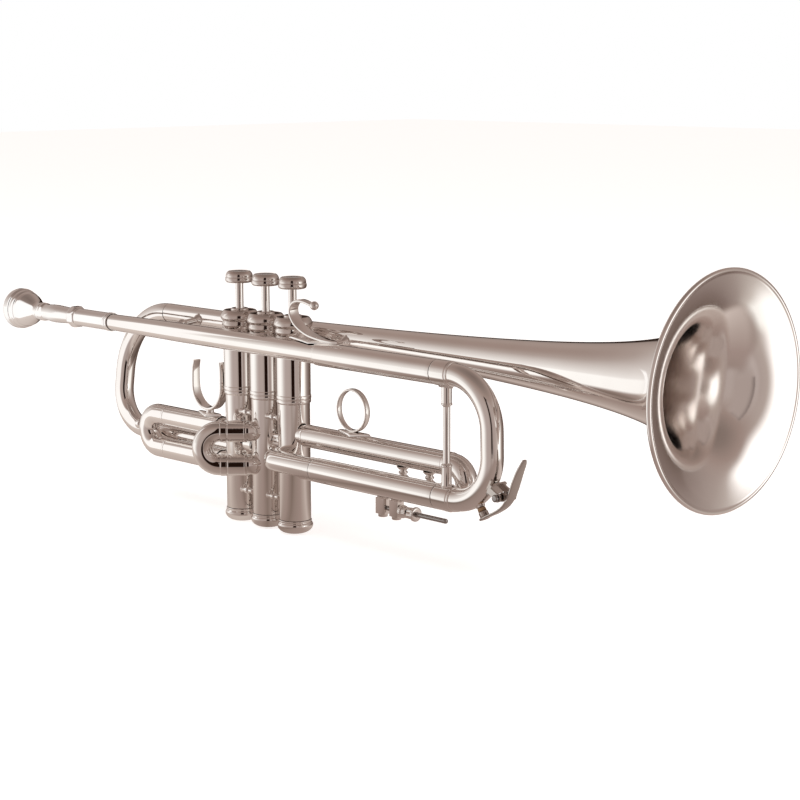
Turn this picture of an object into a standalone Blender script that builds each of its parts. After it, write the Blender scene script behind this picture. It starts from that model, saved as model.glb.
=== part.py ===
"""A three-valve B-flat trumpet, silver plated, built as separate soldered, screwed and sliding pieces.

All dimensions below are in millimetres and are turned into metres when a mesh is made.
+X runs from the mouthpiece towards the bell's mouth, +Y is the player's left and +Z is up.
The origin is on the middle valve's axis, in the plane of the flat undersides of the bottom caps.
"""

import math

import bpy
import numpy as np

MM = 0.001

# Valves
VALVE_PITCH = 24.45
CASING_BORE_R = 8.7
LOWER_CASING_R = 9.6
UPPER_CASING_R = 10.15
CASING_TOP_Z = 123.0
CASING_FOOT_Z = 3.7
CAP_TOP_Z = 129.7
PISTON_R = 8.4
BARREL_R = 7.4
BARREL_BORE_R = 6.1
BARREL_TOP_Z = 122.0
STEM_R = 2.35
BUTTON_FOOT_Z = 146.1
BUTTON_TOP_Z = 153.2
VALVE_TRAVEL = 15.0
GUIDE_Z = 91.0

# Leadpipe side, which is the player's right
LEADPIPE_Y = -17.6
LEADPIPE_Z = 113.8
LOWER_LEG_Y = -16.2
LOWER_LEG_Z = 45.7
MOUTHPIECE_RIM_X = -238.3
RECEIVER_X = -174.2
RECEIVER_END_X = -130.5
UPPER_SEAM_X = 67.0
LOWER_SEAM_X = 62.0
FERRULE_X = 162.0
BOW_START_X = 174.5
BOW_CORNER_R = 27.5
OUTER_TUBE_R = 6.85
OUTER_BORE_R = 6.45
INNER_TUBE_R = 6.15
INNER_BORE_R = 5.8

# Bell side, which is the player's left
BELL_Y = 19.9
BELL_Z = 117.5
BELL_MOUTH_X = 325.8
BELL_RIM_R = 61.1
BELL_SEAM_X = 150.0
BELL_STEM_X = -119.6
BELL_STEM_R = 5.95
BELL_WALL = 0.6
FLARE_SCALE = 114.93
FLARE_OFFSET = 3.37
FLARE_POWER = 0.3014
FLARE_BASE = -13.41
TAIL_Y = 10.0
TAIL_Z = 41.2
BELL_BOW_BACK_X = -162.2
BELL_BOW_TOP_R = 41.0
BELL_BOW_FOOT_R = 26.1
BELL_BOW_TUBE_R = 6.15

# Valve slides
FIRST_Y = -3.5
FIRST_TOP_Z = 55.9
FIRST_LOW_Z = 35.1
FIRST_SLEEVE_X = -39.3
FIRST_SEAM_X = -92.0
FIRST_BEND_X = -102.7
SECOND_TOP_Z = 59.0
SECOND_LOW_Z = 38.4
SECOND_ANGLE = math.radians(44.0)
SECOND_PORT_ANGLE = math.radians(15.0)
THIRD_TOP_Z = 59.9
THIRD_LOW_Z = 39.9
THIRD_SLEEVE_X = 36.0
THIRD_LOW_SLEEVE_X = 106.0
THIRD_SEAM_X = 153.5
THIRD_BEND_X = 157.2
SLEEVE_R = 6.65
SLEEVE_BORE_R = 6.3
SLIDE_LEG_R = 6.0
SLIDE_LEG_BORE_R = 5.7

# Water key
KEY_PIVOT_X = 210.5
KEY_PIVOT_Z = 53.0
KEY_Y = LOWER_LEG_Y
DRAIN = (0.55, 0.0, -0.835)
NIPPLE_HEIGHT = 0.9
CORK_HEIGHT = 1.9
LEVER_REACH = 6.9

# Third-slide stop
ROD_Z = 27.2

GAP = 0.3
FACET_SPIN = 0.11
TUBE_SIDES = 12
VALVE_SIDES = 16
COPE_SIDES = 24
SHARP_ANGLE = 38.0

SILVER = (0.86, 0.84, 0.81)
MONEL = (0.62, 0.60, 0.57)
STEEL = (0.55, 0.55, 0.56)
PEARL = (0.88, 0.88, 0.84)
CORK = (0.55, 0.40, 0.26)


def clear_scene():
    for obj in list(bpy.data.objects):
        bpy.data.objects.remove(obj, do_unlink=True)


def material(name, colour, metallic, roughness):
    made = bpy.data.materials.new(name)
    made.use_nodes = True
    shader = made.node_tree.nodes["Principled BSDF"]
    shader.inputs["Base Color"].default_value = (*colour, 1.0)
    shader.inputs["Metallic"].default_value = metallic
    shader.inputs["Roughness"].default_value = roughness
    return made


def signed_volume(points, faces):
    total = 0.0
    for face in faces:
        first = points[face[0]]
        for i in range(1, len(face) - 1):
            total += float(np.dot(first, np.cross(points[face[i]], points[face[i + 1]])))
    return total


def solid(name, points, faces, look, origin=(0.0, 0.0, 0.0)):
    """A mesh object from points in millimetres, turned so that its faces point outwards."""
    points = np.array(points, float)
    centred = points - points.mean(axis=0)
    if signed_volume(centred, faces) < 0:
        faces = [tuple(reversed(face)) for face in faces]
    origin = np.array(origin, float)
    mesh = bpy.data.meshes.new(name)
    mesh.from_pydata([tuple(p) for p in (points - origin) * MM], [], [tuple(f) for f in faces])
    mesh.update()
    obj = bpy.data.objects.new(name, mesh)
    obj.location = tuple(origin * MM)
    bpy.context.scene.collection.objects.link(obj)
    if look is not None:
        mesh.materials.append(material(name, *look))
    mesh.shade_smooth()
    mesh.set_sharp_from_angle(angle=math.radians(SHARP_ANGLE))
    return obj


def silver():
    return (SILVER, 1.0, 0.16)


def unit(vector):
    vector = np.array(vector, float)
    return vector / np.linalg.norm(vector)


def cross_frame(direction):
    """Two unit vectors square to a direction; the first is as near to +Z as it can be."""
    direction = unit(direction)
    start = np.array([0.0, 0.0, 1.0]) if abs(direction[2]) < 0.9 else np.array([1.0, 0.0, 0.0])
    first = unit(start - direction * np.dot(start, direction))
    return first, np.cross(direction, first)


def turned(profile, base, direction, sides, ring_scale=None):
    """Points and faces of a turned piece. The profile holds (distance along the axis, radius) pairs.
    A profile that starts and ends on the axis makes a solid piece, and any other is closed on itself."""
    base = np.array(base, float)
    direction = unit(direction)
    first, second = cross_frame(direction)
    points = []
    rows = []
    for index, (along, radius) in enumerate(profile):
        if radius <= 0.0:
            rows.append([len(points)])
            points.append(base + direction * along)
            continue
        row = []
        for k in range(sides):
            angle = 2.0 * math.pi * k / sides
            scale = 1.0 if ring_scale is None else ring_scale(index, k)
            offset = first * math.cos(angle) + second * math.sin(angle)
            row.append(len(points))
            points.append(base + direction * along + offset * radius * scale)
        rows.append(row)
    closed = profile[0][1] > 0.0
    faces = []
    pairs = list(zip(rows, rows[1:]))
    if closed:
        pairs.append((rows[-1], rows[0]))
    for low, high in pairs:
        for k in range(sides):
            n = (k + 1) % sides
            if len(low) == 1 and len(high) == 1:
                continue
            if len(low) == 1:
                faces.append((low[0], high[n], high[k]))
            elif len(high) == 1:
                faces.append((low[k], low[n], high[0]))
            else:
                faces.append((low[k], low[n], high[n], high[k]))
    return points, faces


def lathe(name, profile, base, direction, sides, look, origin=None, ring_scale=None):
    points, faces = turned(profile, base, direction, sides, ring_scale)
    return solid(name, points, faces, look, base if origin is None else origin)


def swept(path, outer, inner, sides, start=(0.0, 0.0, 1.0)):
    """Points and faces of a tube along a path. Radii are one per station; inner None makes a solid rod."""
    path = [np.array(p, float) for p in path]
    count = len(path)
    outer = [outer] * count if np.isscalar(outer) else list(outer)
    normal = np.array(start, float)
    rings = []
    for i in range(count):
        behind = path[max(i - 1, 0)]
        ahead = path[min(i + 1, count - 1)]
        if 0 < i < count - 1:
            before = path[i] - behind
            after = ahead - path[i]
            if np.linalg.norm(before) < 0.05:
                before = after
            if np.linalg.norm(after) < 0.05:
                after = before
            tangent = unit(unit(before) + unit(after))
        else:
            tangent = unit(ahead - behind)
        normal = unit(normal - tangent * np.dot(normal, tangent))
        side = np.cross(tangent, normal)
        rings.append((path[i], normal, side))
    loops = [(i, outer[i]) for i in range(count)]
    if inner is not None:
        inner = [inner] * count if np.isscalar(inner) else list(inner)
        loops += [(i, inner[i]) for i in reversed(range(count))]
    points = []
    for i, radius in loops:
        centre, normal, side = rings[i]
        for k in range(sides):
            angle = 2.0 * math.pi * k / sides
            points.append(centre + (normal * math.cos(angle) + side * math.sin(angle)) * radius)
    faces = []
    last = len(loops) if inner is not None else len(loops) - 1
    for row in range(last):
        low = row * sides
        high = ((row + 1) % len(loops)) * sides
        for k in range(sides):
            n = (k + 1) % sides
            faces.append((low + k, low + n, high + n, high + k))
    if inner is None:
        faces.append(tuple(reversed(range(sides))))
        faces.append(tuple((len(loops) - 1) * sides + k for k in range(sides)))
    return points, faces


def tube(name, path, outer, inner, sides, look, origin=(0.0, 0.0, 0.0), start=(0.0, 0.0, 1.0)):
    points, faces = swept(path, outer, inner, sides, start)
    return solid(name, points, faces, look, origin)


def arc(centre, radius, begin, end, steps, place):
    """Stations on an arc from one angle in degrees to another; place turns two offsets into a point."""
    made = []
    for i in range(steps + 1):
        angle = math.radians(begin + (end - begin) * i / steps)
        made.append(place(centre[0] + radius * math.cos(angle), centre[1] + radius * math.sin(angle)))
    return made


def strap(path, widths, thickness, y):
    """Points and faces of a bent strap that lies in an X-Z plane, centred on y."""
    path = [np.array(p, float) for p in path]
    count = len(path)
    points = []
    for i in range(count):
        ahead = path[min(i + 1, count - 1)] - path[max(i - 1, 0)]
        along = ahead / np.linalg.norm(ahead)
        across = np.array([-along[1], along[0]])
        half = widths[i] / 2.0
        for side, lift in ((-1, -1), (1, -1), (1, 1), (-1, 1)):
            place = path[i] + across * lift * thickness / 2.0
            points.append((place[0], y + side * half, place[1]))
    faces = [(0, 1, 2, 3), tuple((count - 1) * 4 + k for k in (3, 2, 1, 0))]
    for i in range(count - 1):
        for k in range(4):
            n = (k + 1) % 4
            faces.append((i * 4 + k, (i + 1) * 4 + k, (i + 1) * 4 + n, i * 4 + n))
    return points, faces


def block(low, high):
    corners = [(x, y, z) for z in (low[2], high[2]) for y in (low[1], high[1]) for x in (low[0], high[0])]
    faces = [(0, 2, 3, 1), (4, 5, 7, 6), (0, 1, 5, 4), (2, 6, 7, 3), (0, 4, 6, 2), (1, 3, 7, 5)]
    return corners, faces


def diamond(centre, half_long, half_wide, low, high):
    """A flat diamond-shaped foot, long along X."""
    outline = ((half_long, 0.0), (0.0, half_wide), (-half_long, 0.0), (0.0, -half_wide))
    points = [(centre[0] + x, centre[1] + y, low) for x, y in outline]
    points += [(centre[0] + x, centre[1] + y, high) for x, y in outline]
    faces = [(3, 2, 1, 0), (4, 5, 6, 7)]
    faces += [(k, (k + 1) % 4, 4 + (k + 1) % 4, 4 + k) for k in range(4)]
    return points, faces


HELPERS = 0


def helper(points, faces):
    """A hidden solid that is only joined to, or cut from, another piece."""
    global HELPERS
    HELPERS += 1
    made = solid("helper_%02d" % HELPERS, points, faces, None)
    made.hide_render = True
    made.display_type = "WIRE"
    return made


def combine(obj, points, faces, operation):
    modifier = obj.modifiers.new(operation.lower(), "BOOLEAN")
    modifier.solver = "EXACT"
    modifier.operation = operation
    modifier.object = helper(points, faces)


def cut(obj, points, faces):
    combine(obj, points, faces, "DIFFERENCE")


def join(obj, points, faces):
    combine(obj, points, faces, "UNION")


def rod(base, tip, radius, sides=12, spin=0.0):
    """A plain round bar. Spin turns its facets, in radians, so that they cross another piece's cleanly."""
    first, second = cross_frame(np.array(tip) - np.array(base))
    return swept([base, tip], radius, None, sides, first * math.cos(spin) + second * math.sin(spin))


def ball(centre, radius, direction=(0.0, 0.0, 1.0), sides=12):
    profile = [(-radius * math.cos(math.pi * k / 6), radius * math.sin(math.pi * k / 6)) for k in range(7)]
    profile[0] = (-radius, 0.0)
    profile[-1] = (radius, 0.0)
    return turned(profile, centre, direction, sides)


def clear_of_casing(obj, valve):
    """Shapes the end of a tube to a valve casing, with a hair's gap for the solder."""
    x = valve_x(valve)
    cut(obj, *rod((x, 0.0, 0.0), (x, 0.0, 112.0), LOWER_CASING_R + GAP, COPE_SIDES))


def valve_x(valve):
    return (valve - 2) * VALVE_PITCH


def u_path(bend_x, stop_x_top, stop_x_low, y, top_z, low_z, way, steps=7):
    """A hairpin path: in along the upper leg, round the end and back along the lower leg."""
    radius = (top_z - low_z) / 2.0
    middle = (top_z + low_z) / 2.0
    path = [(stop_x_top, y, top_z)]
    for i in range(steps + 1):
        angle = math.pi * i / steps
        path.append((bend_x + way * radius * math.sin(angle), y, middle + radius * math.cos(angle)))
    path.append((stop_x_low, y, low_z))
    return path


# ---- Valves ----

def build_casing(valve):
    x = valve_x(valve)
    outer = [
        (CASING_FOOT_Z, 9.15), (8.3, 9.15), (8.3, LOWER_CASING_R), (78.6, LOWER_CASING_R),
        (79.3, 10.5), (82.6, 10.5), (83.3, UPPER_CASING_R),
        (116.0, UPPER_CASING_R), (116.0, 9.3), (CASING_TOP_Z, 9.3),
    ]
    profile = outer + [(CASING_TOP_Z, CASING_BORE_R), (CASING_FOOT_Z, CASING_BORE_R)]
    if valve == 2:
        profile = [(CASING_FOOT_Z, 0.0)] + outer + [(CASING_TOP_Z, 0.0)]
    name = "valve_casing_%d" % valve
    casing = lathe(name, profile, (x, 0.0, 0.0), (0.0, 0.0, 1.0), VALVE_SIDES, silver())
    if valve == 2:
        for way, height in ((-1, 48.5), (1, 54.0)):
            end = (way * VALVE_PITCH, 0.0, height)
            join(casing, *rod((way * 7.0, 0.0, height), end, 6.0, 12, FACET_SPIN))
            for stud_z in (20.0, 68.4):
                inside = (way * 6.6, -6.2, stud_z)
                outside = (way * (VALVE_PITCH - 5.0), -6.2, stud_z)
                join(casing, *rod(inside, outside, 1.7, 8, FACET_SPIN))
        for other in (1, 3):
            away = valve_x(other)
            cut(casing, *rod((away, 0.0, 0.0), (away, 0.0, 112.0), LOWER_CASING_R + GAP, COPE_SIDES))
        cut(casing, *rod((x, 0.0, -2.0), (x, 0.0, 130.0), CASING_BORE_R, VALVE_SIDES))
    for height, angle in PORTS[valve]:
        way = np.array([math.cos(angle), math.sin(angle), 0.0])
        inside = np.array([x, 0.0, height]) + way * 3.0
        outside = np.array([x, 0.0, height]) + way * 20.0
        cut(casing, *rod(inside, outside, 5.0, 10, FACET_SPIN))


PORTS = {
    1: ((TAIL_Z, math.radians(128.0)), (FIRST_TOP_Z, math.radians(200.0)),
        (FIRST_LOW_Z, math.radians(200.0)), (48.5, 0.0)),
    2: ((SECOND_TOP_Z, math.radians(255.0)), (SECOND_LOW_Z, math.radians(255.0)),
        (48.5, math.pi), (54.0, 0.0)),
    3: ((THIRD_TOP_Z, 0.0), (THIRD_LOW_Z, 0.0), (LOWER_LEG_Z, math.radians(245.0)), (54.0, math.pi)),
}


def build_top_cap(valve):
    outer = [
        (116.3, 10.7), (117.7, 10.7), (118.5, 10.2), (119.6, 10.8), (122.2, 10.8), (123.2, 10.3),
        (124.2, 11.4), (125.4, 11.7), (127.0, 11.2), (CAP_TOP_Z, 9.4), (CAP_TOP_Z, 5.3),
        (CAP_TOP_Z + 1.1, 5.0), (CAP_TOP_Z + 1.1, STEM_R + 0.45),
    ]
    inner = [(126.5, STEM_R + 0.45), (126.5, 9.6), (116.3, 9.6)]
    name = "top_cap_%d" % valve
    lathe(name, outer + inner, (valve_x(valve), 0.0, 0.0), (0.0, 0.0, 1.0), VALVE_SIDES, silver())


def build_bottom_cap(valve):
    profile = [
        (0.0, 0.0), (0.0, 6.8), (1.6, 9.5), (3.4, 10.6), (4.9, 10.75), (6.7, 10.0), (8.0, 10.0),
        (8.0, 9.4), (3.3, 9.4), (2.4, 8.0), (2.4, 0.0),
    ]
    name = "bottom_cap_%d" % valve
    lathe(name, profile, (valve_x(valve), 0.0, 0.0), (0.0, 0.0, 1.0), VALVE_SIDES, silver())


def build_piston(valve):
    x = valve_x(valve)
    profile = [
        (30.0, 0.0), (30.0, 7.9), (30.5, PISTON_R), (85.0, PISTON_R), (86.0, BARREL_R),
        (BARREL_TOP_Z, BARREL_R), (BARREL_TOP_Z, BARREL_BORE_R), (88.5, BARREL_BORE_R), (88.5, 0.0),
    ]
    look = (MONEL, 1.0, 0.25)
    piston = lathe("piston_%d" % valve, profile, (x, 0.0, 0.0), (0.0, 0.0, 1.0), VALVE_SIDES, look)
    for height, angle in ((39.0, 20.0 + 70.0 * valve), (52.0, 65.0 * valve), (65.0, 110.0 + 80.0 * valve)):
        way = np.array([math.cos(math.radians(angle)), math.sin(math.radians(angle)), 0.0])
        middle = np.array([x, 0.0, height])
        cut(piston, *rod(middle - way * 12.0, middle + way * 12.0, 4.8, 10, FACET_SPIN))
    slot_low = (x - 2.4, -10.0, GUIDE_Z - 0.4)
    slot_high = (x + 2.4, 10.0, GUIDE_Z + 2.4 + VALVE_TRAVEL)
    cut(piston, *block(slot_low, slot_high))


def build_guide(valve):
    x = valve_x(valve)
    points, faces = block((x - 2.0, -8.3, GUIDE_Z), (x + 2.0, 8.3, GUIDE_Z + 2.0))
    solid("valve_guide_%d" % valve, points, faces, (CORK, 0.0, 0.6))


def build_stem(valve):
    profile = [
        (BARREL_TOP_Z + GAP, 0.0), (BARREL_TOP_Z + GAP, 7.2), (124.4, 7.2), (124.4, STEM_R),
        (150.7, STEM_R), (150.7, 0.0),
    ]
    name = "valve_stem_%d" % valve
    lathe(name, profile, (valve_x(valve), 0.0, 0.0), (0.0, 0.0, 1.0), 12, silver())


def build_button(valve):
    base = (valve_x(valve), 0.0, 0.0)
    profile = [
        (BUTTON_FOOT_Z, 0.0), (BUTTON_FOOT_Z, 7.2), (146.9, 8.2), (148.4, 8.5), (149.9, 8.2),
        (152.4, 7.4), (BUTTON_TOP_Z, 6.4), (BUTTON_TOP_Z, 6.0), (152.0, 6.0), (152.0, 0.0),
    ]
    name = "finger_button_%d" % valve
    button = lathe(name, profile, base, (0.0, 0.0, 1.0), VALVE_SIDES, silver())
    socket = rod((base[0], 0.0, BUTTON_FOOT_Z - 1.0), (base[0], 0.0, 151.0), STEM_R + GAP, 12)
    cut(button, *socket)


def build_pearl(valve):
    profile = [(152.3, 0.0), (152.3, 5.7), (152.8, 5.7), (153.1, 5.2), (153.1, 0.0)]
    look = (PEARL, 0.0, 0.2)
    base = (valve_x(valve), 0.0, 0.0)
    lathe("button_pearl_%d" % valve, profile, base, (0.0, 0.0, 1.0), VALVE_SIDES, look)


def coil(centre, axis, radius, length, turns, per_turn, ramp=0.0):
    """Stations of a helix about an axis."""
    first, second = cross_frame(axis)
    axis = unit(axis)
    count = int(turns * per_turn)
    stations = []
    for i in range(count + 1):
        angle = 2.0 * math.pi * i / per_turn
        offset = first * math.cos(angle) + second * math.sin(angle)
        stations.append(np.array(centre) + axis * (length * i / count + ramp) + offset * radius)
    return stations


def build_valve_spring(valve):
    x = valve_x(valve)
    low = GUIDE_Z + 2.0 + GAP + 0.45
    high = BARREL_TOP_Z + GAP - GAP - 0.45
    path = coil((x, 0.0, low), (0.0, 0.0, 1.0), 5.1, high - low, 6, 7)
    tube("valve_spring_%d" % valve, path, 0.4, None, 4, (STEEL, 1.0, 0.3), (x, 0.0, low))


# ---- Leadpipe side ----

def build_mouthpiece():
    outer = [
        (-238.3, 10.2), (-237.7, 12.4), (-236.3, 13.4), (-231.6, 13.4), (-231.0, 12.7), (-227.6, 12.2),
        (-227.2, 11.6), (-224.4, 11.0), (-221.2, 9.3), (-217.6, 6.9), (-214.2, 5.5), (-211.8, 5.4),
        (-210.9, 5.95), (-205.4, 5.95), (-204.6, 5.35), (-192.0, 5.8), (-174.0, 5.08), (-151.0, 4.72),
    ]
    inner = [
        (-151.0, 4.15), (-190.0, 3.0), (-216.0, 1.85), (-223.2, 1.85), (-225.6, 3.6), (-228.0, 6.0),
        (-231.8, 7.6), (-236.9, 8.3),
    ]
    profile = [(x - MOUTHPIECE_RIM_X, r) for x, r in outer + inner]
    base = (MOUTHPIECE_RIM_X, LEADPIPE_Y, LEADPIPE_Z)
    lathe("mouthpiece", profile, base, (1.0, 0.0, 0.0), 16, (SILVER, 1.0, 0.22))


def build_receiver():
    outer = [
        (0.0, 6.2), (1.6, 7.3), (6.0, 7.3), (7.4, 6.0), (7.4, 5.75), (38.6, 5.75), (39.0, 5.6),
        (39.4, 6.0), (43.7, 6.0),
    ]
    inner = [(43.7, 5.5), (24.4, 5.25), (24.0, 5.1), (0.0, 5.45)]

    def octagon(index, k):
        return 1.0 if index not in (1, 2) or k % 2 else math.cos(math.pi / 8)

    base = (RECEIVER_X, LEADPIPE_Y, LEADPIPE_Z)
    lathe("mouthpiece_receiver", outer + inner, base, (1.0, 0.0, 0.0), 16, silver(), None, octagon)


def build_leadpipe():
    stations = ((-149.0, 4.85), (-128.0, 5.15), (-60.0, 5.9), (50.0, 6.12), (72.0, 6.12))
    path = [(x, LEADPIPE_Y, LEADPIPE_Z) for x, r in stations]
    outer = [r for x, r in stations]
    inner = [r - 0.5 for r in outer]
    tube("leadpipe", path, outer, inner, TUBE_SIDES, silver())


def build_outer_tubes():
    for name, seam, y, z in (
        ("upper_outer_tube", UPPER_SEAM_X, LEADPIPE_Y, LEADPIPE_Z),
        ("lower_outer_tube", LOWER_SEAM_X, LOWER_LEG_Y, LOWER_LEG_Z),
    ):
        path = [(seam, y, z), (FERRULE_X - GAP, y, z)]
        tube(name, path, OUTER_TUBE_R, OUTER_BORE_R, TUBE_SIDES, silver())


def build_tuning_knuckle():
    bend = 6.9
    turn_x = 27.4
    path = [(LOWER_SEAM_X - GAP, LOWER_LEG_Y, LOWER_LEG_Z), (45.0, LOWER_LEG_Y, LOWER_LEG_Z)]

    def place(x, y):
        return (x, y, LOWER_LEG_Z)

    path += arc((turn_x, LOWER_LEG_Y + bend), bend, -90.0, -180.0, 5, place)
    path.append((turn_x - bend, -3.0, LOWER_LEG_Z))
    knuckle = tube("tuning_knuckle", path, 6.3, 5.8, TUBE_SIDES, silver())
    clear_of_casing(knuckle, 3)


def lean(points, top_y, low_y, top_z, low_z):
    """Leans a bow's stations so that its lower leg lies at another y than its upper one."""
    return [(x, top_y + (low_y - top_y) * (top_z - z) / (top_z - low_z), z) for x, y, z in points]


def build_tuning_slide():
    far_x = BOW_START_X
    top = LEADPIPE_Z
    low = LOWER_LEG_Z

    def place(x, z):
        return (x, 0.0, z)

    bend = arc((far_x, top - BOW_CORNER_R), BOW_CORNER_R, 90.0, 0.0, 5, place)
    bend += arc((far_x, low + BOW_CORNER_R), BOW_CORNER_R, 0.0, -90.0, 5, place)
    legs = (92.0, FERRULE_X, FERRULE_X + 0.06, FERRULE_X + 2.0, BOW_START_X - 0.5, BOW_START_X - 0.44)
    radii = (INNER_TUBE_R, INNER_TUBE_R, OUTER_TUBE_R, 6.95, 6.95, INNER_TUBE_R)
    path = [(x, 0.0, top) for x in legs] + bend + [(x, 0.0, low) for x in reversed(legs)]
    outer = list(radii) + [INNER_TUBE_R] * len(bend) + list(reversed(radii))
    path = lean(path, LEADPIPE_Y, LOWER_LEG_Y, top, low)
    origin = (FERRULE_X, LEADPIPE_Y, top)
    bow = tube("tuning_slide", path, outer, INNER_BORE_R, TUBE_SIDES, silver(), origin)
    drain = unit(DRAIN)
    corner = np.array([far_x, LOWER_LEG_Y, low + BOW_CORNER_R])
    reach = BOW_CORNER_R + INNER_TUBE_R
    join(bow, *rod(corner + drain * (reach - 0.8), corner + drain * (reach + NIPPLE_HEIGHT), 2.9, 12))
    cut(bow, *rod(corner + drain * (reach - 2.5), corner + drain * (reach + 3.0), 1.6, 8))


def build_tuning_brace():
    low = LOWER_LEG_Z + 6.95 + GAP
    high = LEADPIPE_Z - 6.95 - GAP
    profile = [
        (low, 0.0), (low, 3.3), (low + 0.8, 2.9), (63.2, 2.85), (63.3, 3.15), (64.2, 3.15), (64.4, 1.95),
        (96.2, 1.95), (96.4, 3.15), (97.3, 3.15), (97.4, 2.85), (high - 0.8, 2.9), (high, 3.3), (high, 0.0),
    ]
    middle_y = (LEADPIPE_Y + LOWER_LEG_Y) / 2.0
    base = (168.5, middle_y, 0.0)
    lathe("tuning_slide_brace", profile, base, (0.0, 0.0, 1.0), 12, silver())


def build_pinky_hook():
    foot_z = LEADPIPE_Z + OUTER_TUBE_R + GAP
    path = (
        (81.0, foot_z + 0.9), (70.0, foot_z + 1.5), (59.0, foot_z + 3.3), (50.5, foot_z + 7.0),
        (45.8, foot_z + 11.5), (44.6, foot_z + 15.5), (46.4, foot_z + 19.3), (51.0, foot_z + 21.6),
        (57.0, foot_z + 21.6), (62.0, foot_z + 20.6),
    )
    widths = (3.0, 6.0, 7.4, 7.6, 7.4, 7.0, 6.4, 5.4, 4.2, 3.4)
    hook = solid("pinky_hook", *strap(path, widths, 1.5, LEADPIPE_Y), silver())
    join(hook, *diamond((61.5, LEADPIPE_Y), 20.5, 4.2, foot_z, foot_z + 1.1))
    join(hook, *ball((63.6, LEADPIPE_Y, foot_z + 20.4), 2.5, (1.0, 0.0, 0.0), 10))


# ---- Water key ----

def build_water_key():
    bow_z = LOWER_LEG_Z + BOW_CORNER_R
    reach = BOW_CORNER_R + INNER_TUBE_R
    pivot = np.array([KEY_PIVOT_X, KEY_Y, KEY_PIVOT_Z])
    out = unit((KEY_PIVOT_X - BOW_START_X, 0.0, KEY_PIVOT_Z - bow_z))
    seat = np.array([BOW_START_X, KEY_Y, bow_z]) + out * (reach + GAP)
    up = np.array([-out[2], 0.0, out[0]])
    side = np.array([0.0, 1.0, 0.0])

    def slab(centre, half_out, half_side, half_up):
        points = []
        for c in (-1, 1):
            for b in (-1, 1):
                for a in (-1, 1):
                    points.append(centre + out * a * half_out + side * b * half_side + up * c * half_up)
        return points, block((0, 0, 0), (1, 1, 1))[1]

    saddle = solid("water_key_saddle", *slab(seat + out * 0.7, 0.7, 6.1, 3.4), silver())
    depth = float(np.dot(pivot - seat, out))
    for way in (-1, 1):
        post = seat + out * (depth / 2.0 + 0.5) + side * way * 5.4
        join(saddle, *slab(post, depth / 2.0 + 0.3, 0.7, 1.9))
        knob = pivot + side * way * 5.4
        join(saddle, *rod(knob - side * 0.75, knob + side * 0.75, 2.4))
    cut(saddle, *rod(pivot - side * 9.0, pivot + side * 9.0, 1.2, 10))

    screw = [
        (-8.2, 0.0), (-8.2, 1.9), (-6.7, 2.1), (-6.5, 0.9), (6.6, 0.9), (6.6, 1.9), (8.0, 1.7), (8.0, 0.0),
    ]
    lathe("water_key_screw", screw, pivot, side, 10, (STEEL, 1.0, 0.25))

    key_spring = coil(pivot - side * 2.1, side, 1.9, 4.2, 4, 8)
    tube("water_key_spring", key_spring, 0.38, None, 4, (STEEL, 1.0, 0.3), tuple(pivot), (1.0, 0.0, 0.0))

    drain = unit(DRAIN)
    corner = np.array([BOW_START_X, KEY_Y, bow_z])
    pad = corner + drain * (reach + LEVER_REACH)
    path = (
        (224.6, 74.4), (221.4, 68.1), (218.9, 62.3), (216.9, 57.0), (214.4, 51.9), (210.4, 47.2),
        (204.8, 43.6), (pad[0] + 2.3, pad[2] + 1.2), (pad[0] - 2.5, pad[2] - 1.6),
    )
    widths = (2.2, 5.0, 6.4, 7.0, 6.8, 6.2, 5.6, 5.2, 4.2)
    lever = solid("water_key_lever", *strap(path, widths, 1.3, KEY_Y), silver(), tuple(pivot))
    for way in (-1, 1):
        ear = pivot + side * way * 3.35 + np.array([1.9, 0.0, 0.2])
        arm = unit((4.4, 0.0, 0.5))
        lift = np.array([-arm[2], 0.0, arm[0]])
        points = []
        for c in (-1, 1):
            for b in (-1, 1):
                for a in (-1, 1):
                    points.append(ear + arm * a * 3.0 + side * b * 0.5 + lift * c * 2.3)
        join(lever, points, block((0, 0, 0), (1, 1, 1))[1])
    cut(lever, *rod(pivot - side * 9.0, pivot + side * 9.0, 1.2, 10))
    seat_reach = reach + NIPPLE_HEIGHT + GAP + CORK_HEIGHT + GAP
    join(lever, *rod(corner + drain * seat_reach, corner + drain * (reach + LEVER_REACH), 2.7, 12))
    base = corner + drain * (reach + NIPPLE_HEIGHT + GAP)
    cork = [(0.0, 0.0), (0.0, 2.3), (CORK_HEIGHT, 2.5), (CORK_HEIGHT, 0.0)]
    lathe("water_key_cork", cork, base, drain, 12, (CORK, 0.0, 0.75), tuple(pivot))


# ---- Bell side ----

def flare_radius(x):
    distance = BELL_MOUTH_X - x
    return max(BELL_STEM_R, FLARE_SCALE / (distance + FLARE_OFFSET) ** FLARE_POWER + FLARE_BASE)


def build_bell():
    stations = [BELL_SEAM_X + GAP, 180.0, 217.0, 247.0, 270.0, 288.0, 301.0, 311.0, 318.0, 322.5]
    outer = [(x, flare_radius(x)) for x in stations]
    rim = [
        (BELL_MOUTH_X - 2.6, BELL_RIM_R - 1.6), (BELL_MOUTH_X - 2.0, BELL_RIM_R),
        (BELL_MOUTH_X - 0.6, BELL_RIM_R), (BELL_MOUTH_X, BELL_RIM_R - 1.3),
        (BELL_MOUTH_X - 0.7, BELL_RIM_R - 2.6),
    ]
    outer += rim
    inner = []
    for x in reversed(stations):
        step = 0.5
        slope = (flare_radius(x + step) - flare_radius(x - step)) / (2.0 * step)
        across = math.hypot(1.0, slope)
        inner.append((x + BELL_WALL * slope / across, flare_radius(x) - BELL_WALL / across))
    base = (0.0, BELL_Y, BELL_Z)
    lathe("bell", outer + inner, base, (1.0, 0.0, 0.0), 24, silver())


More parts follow.
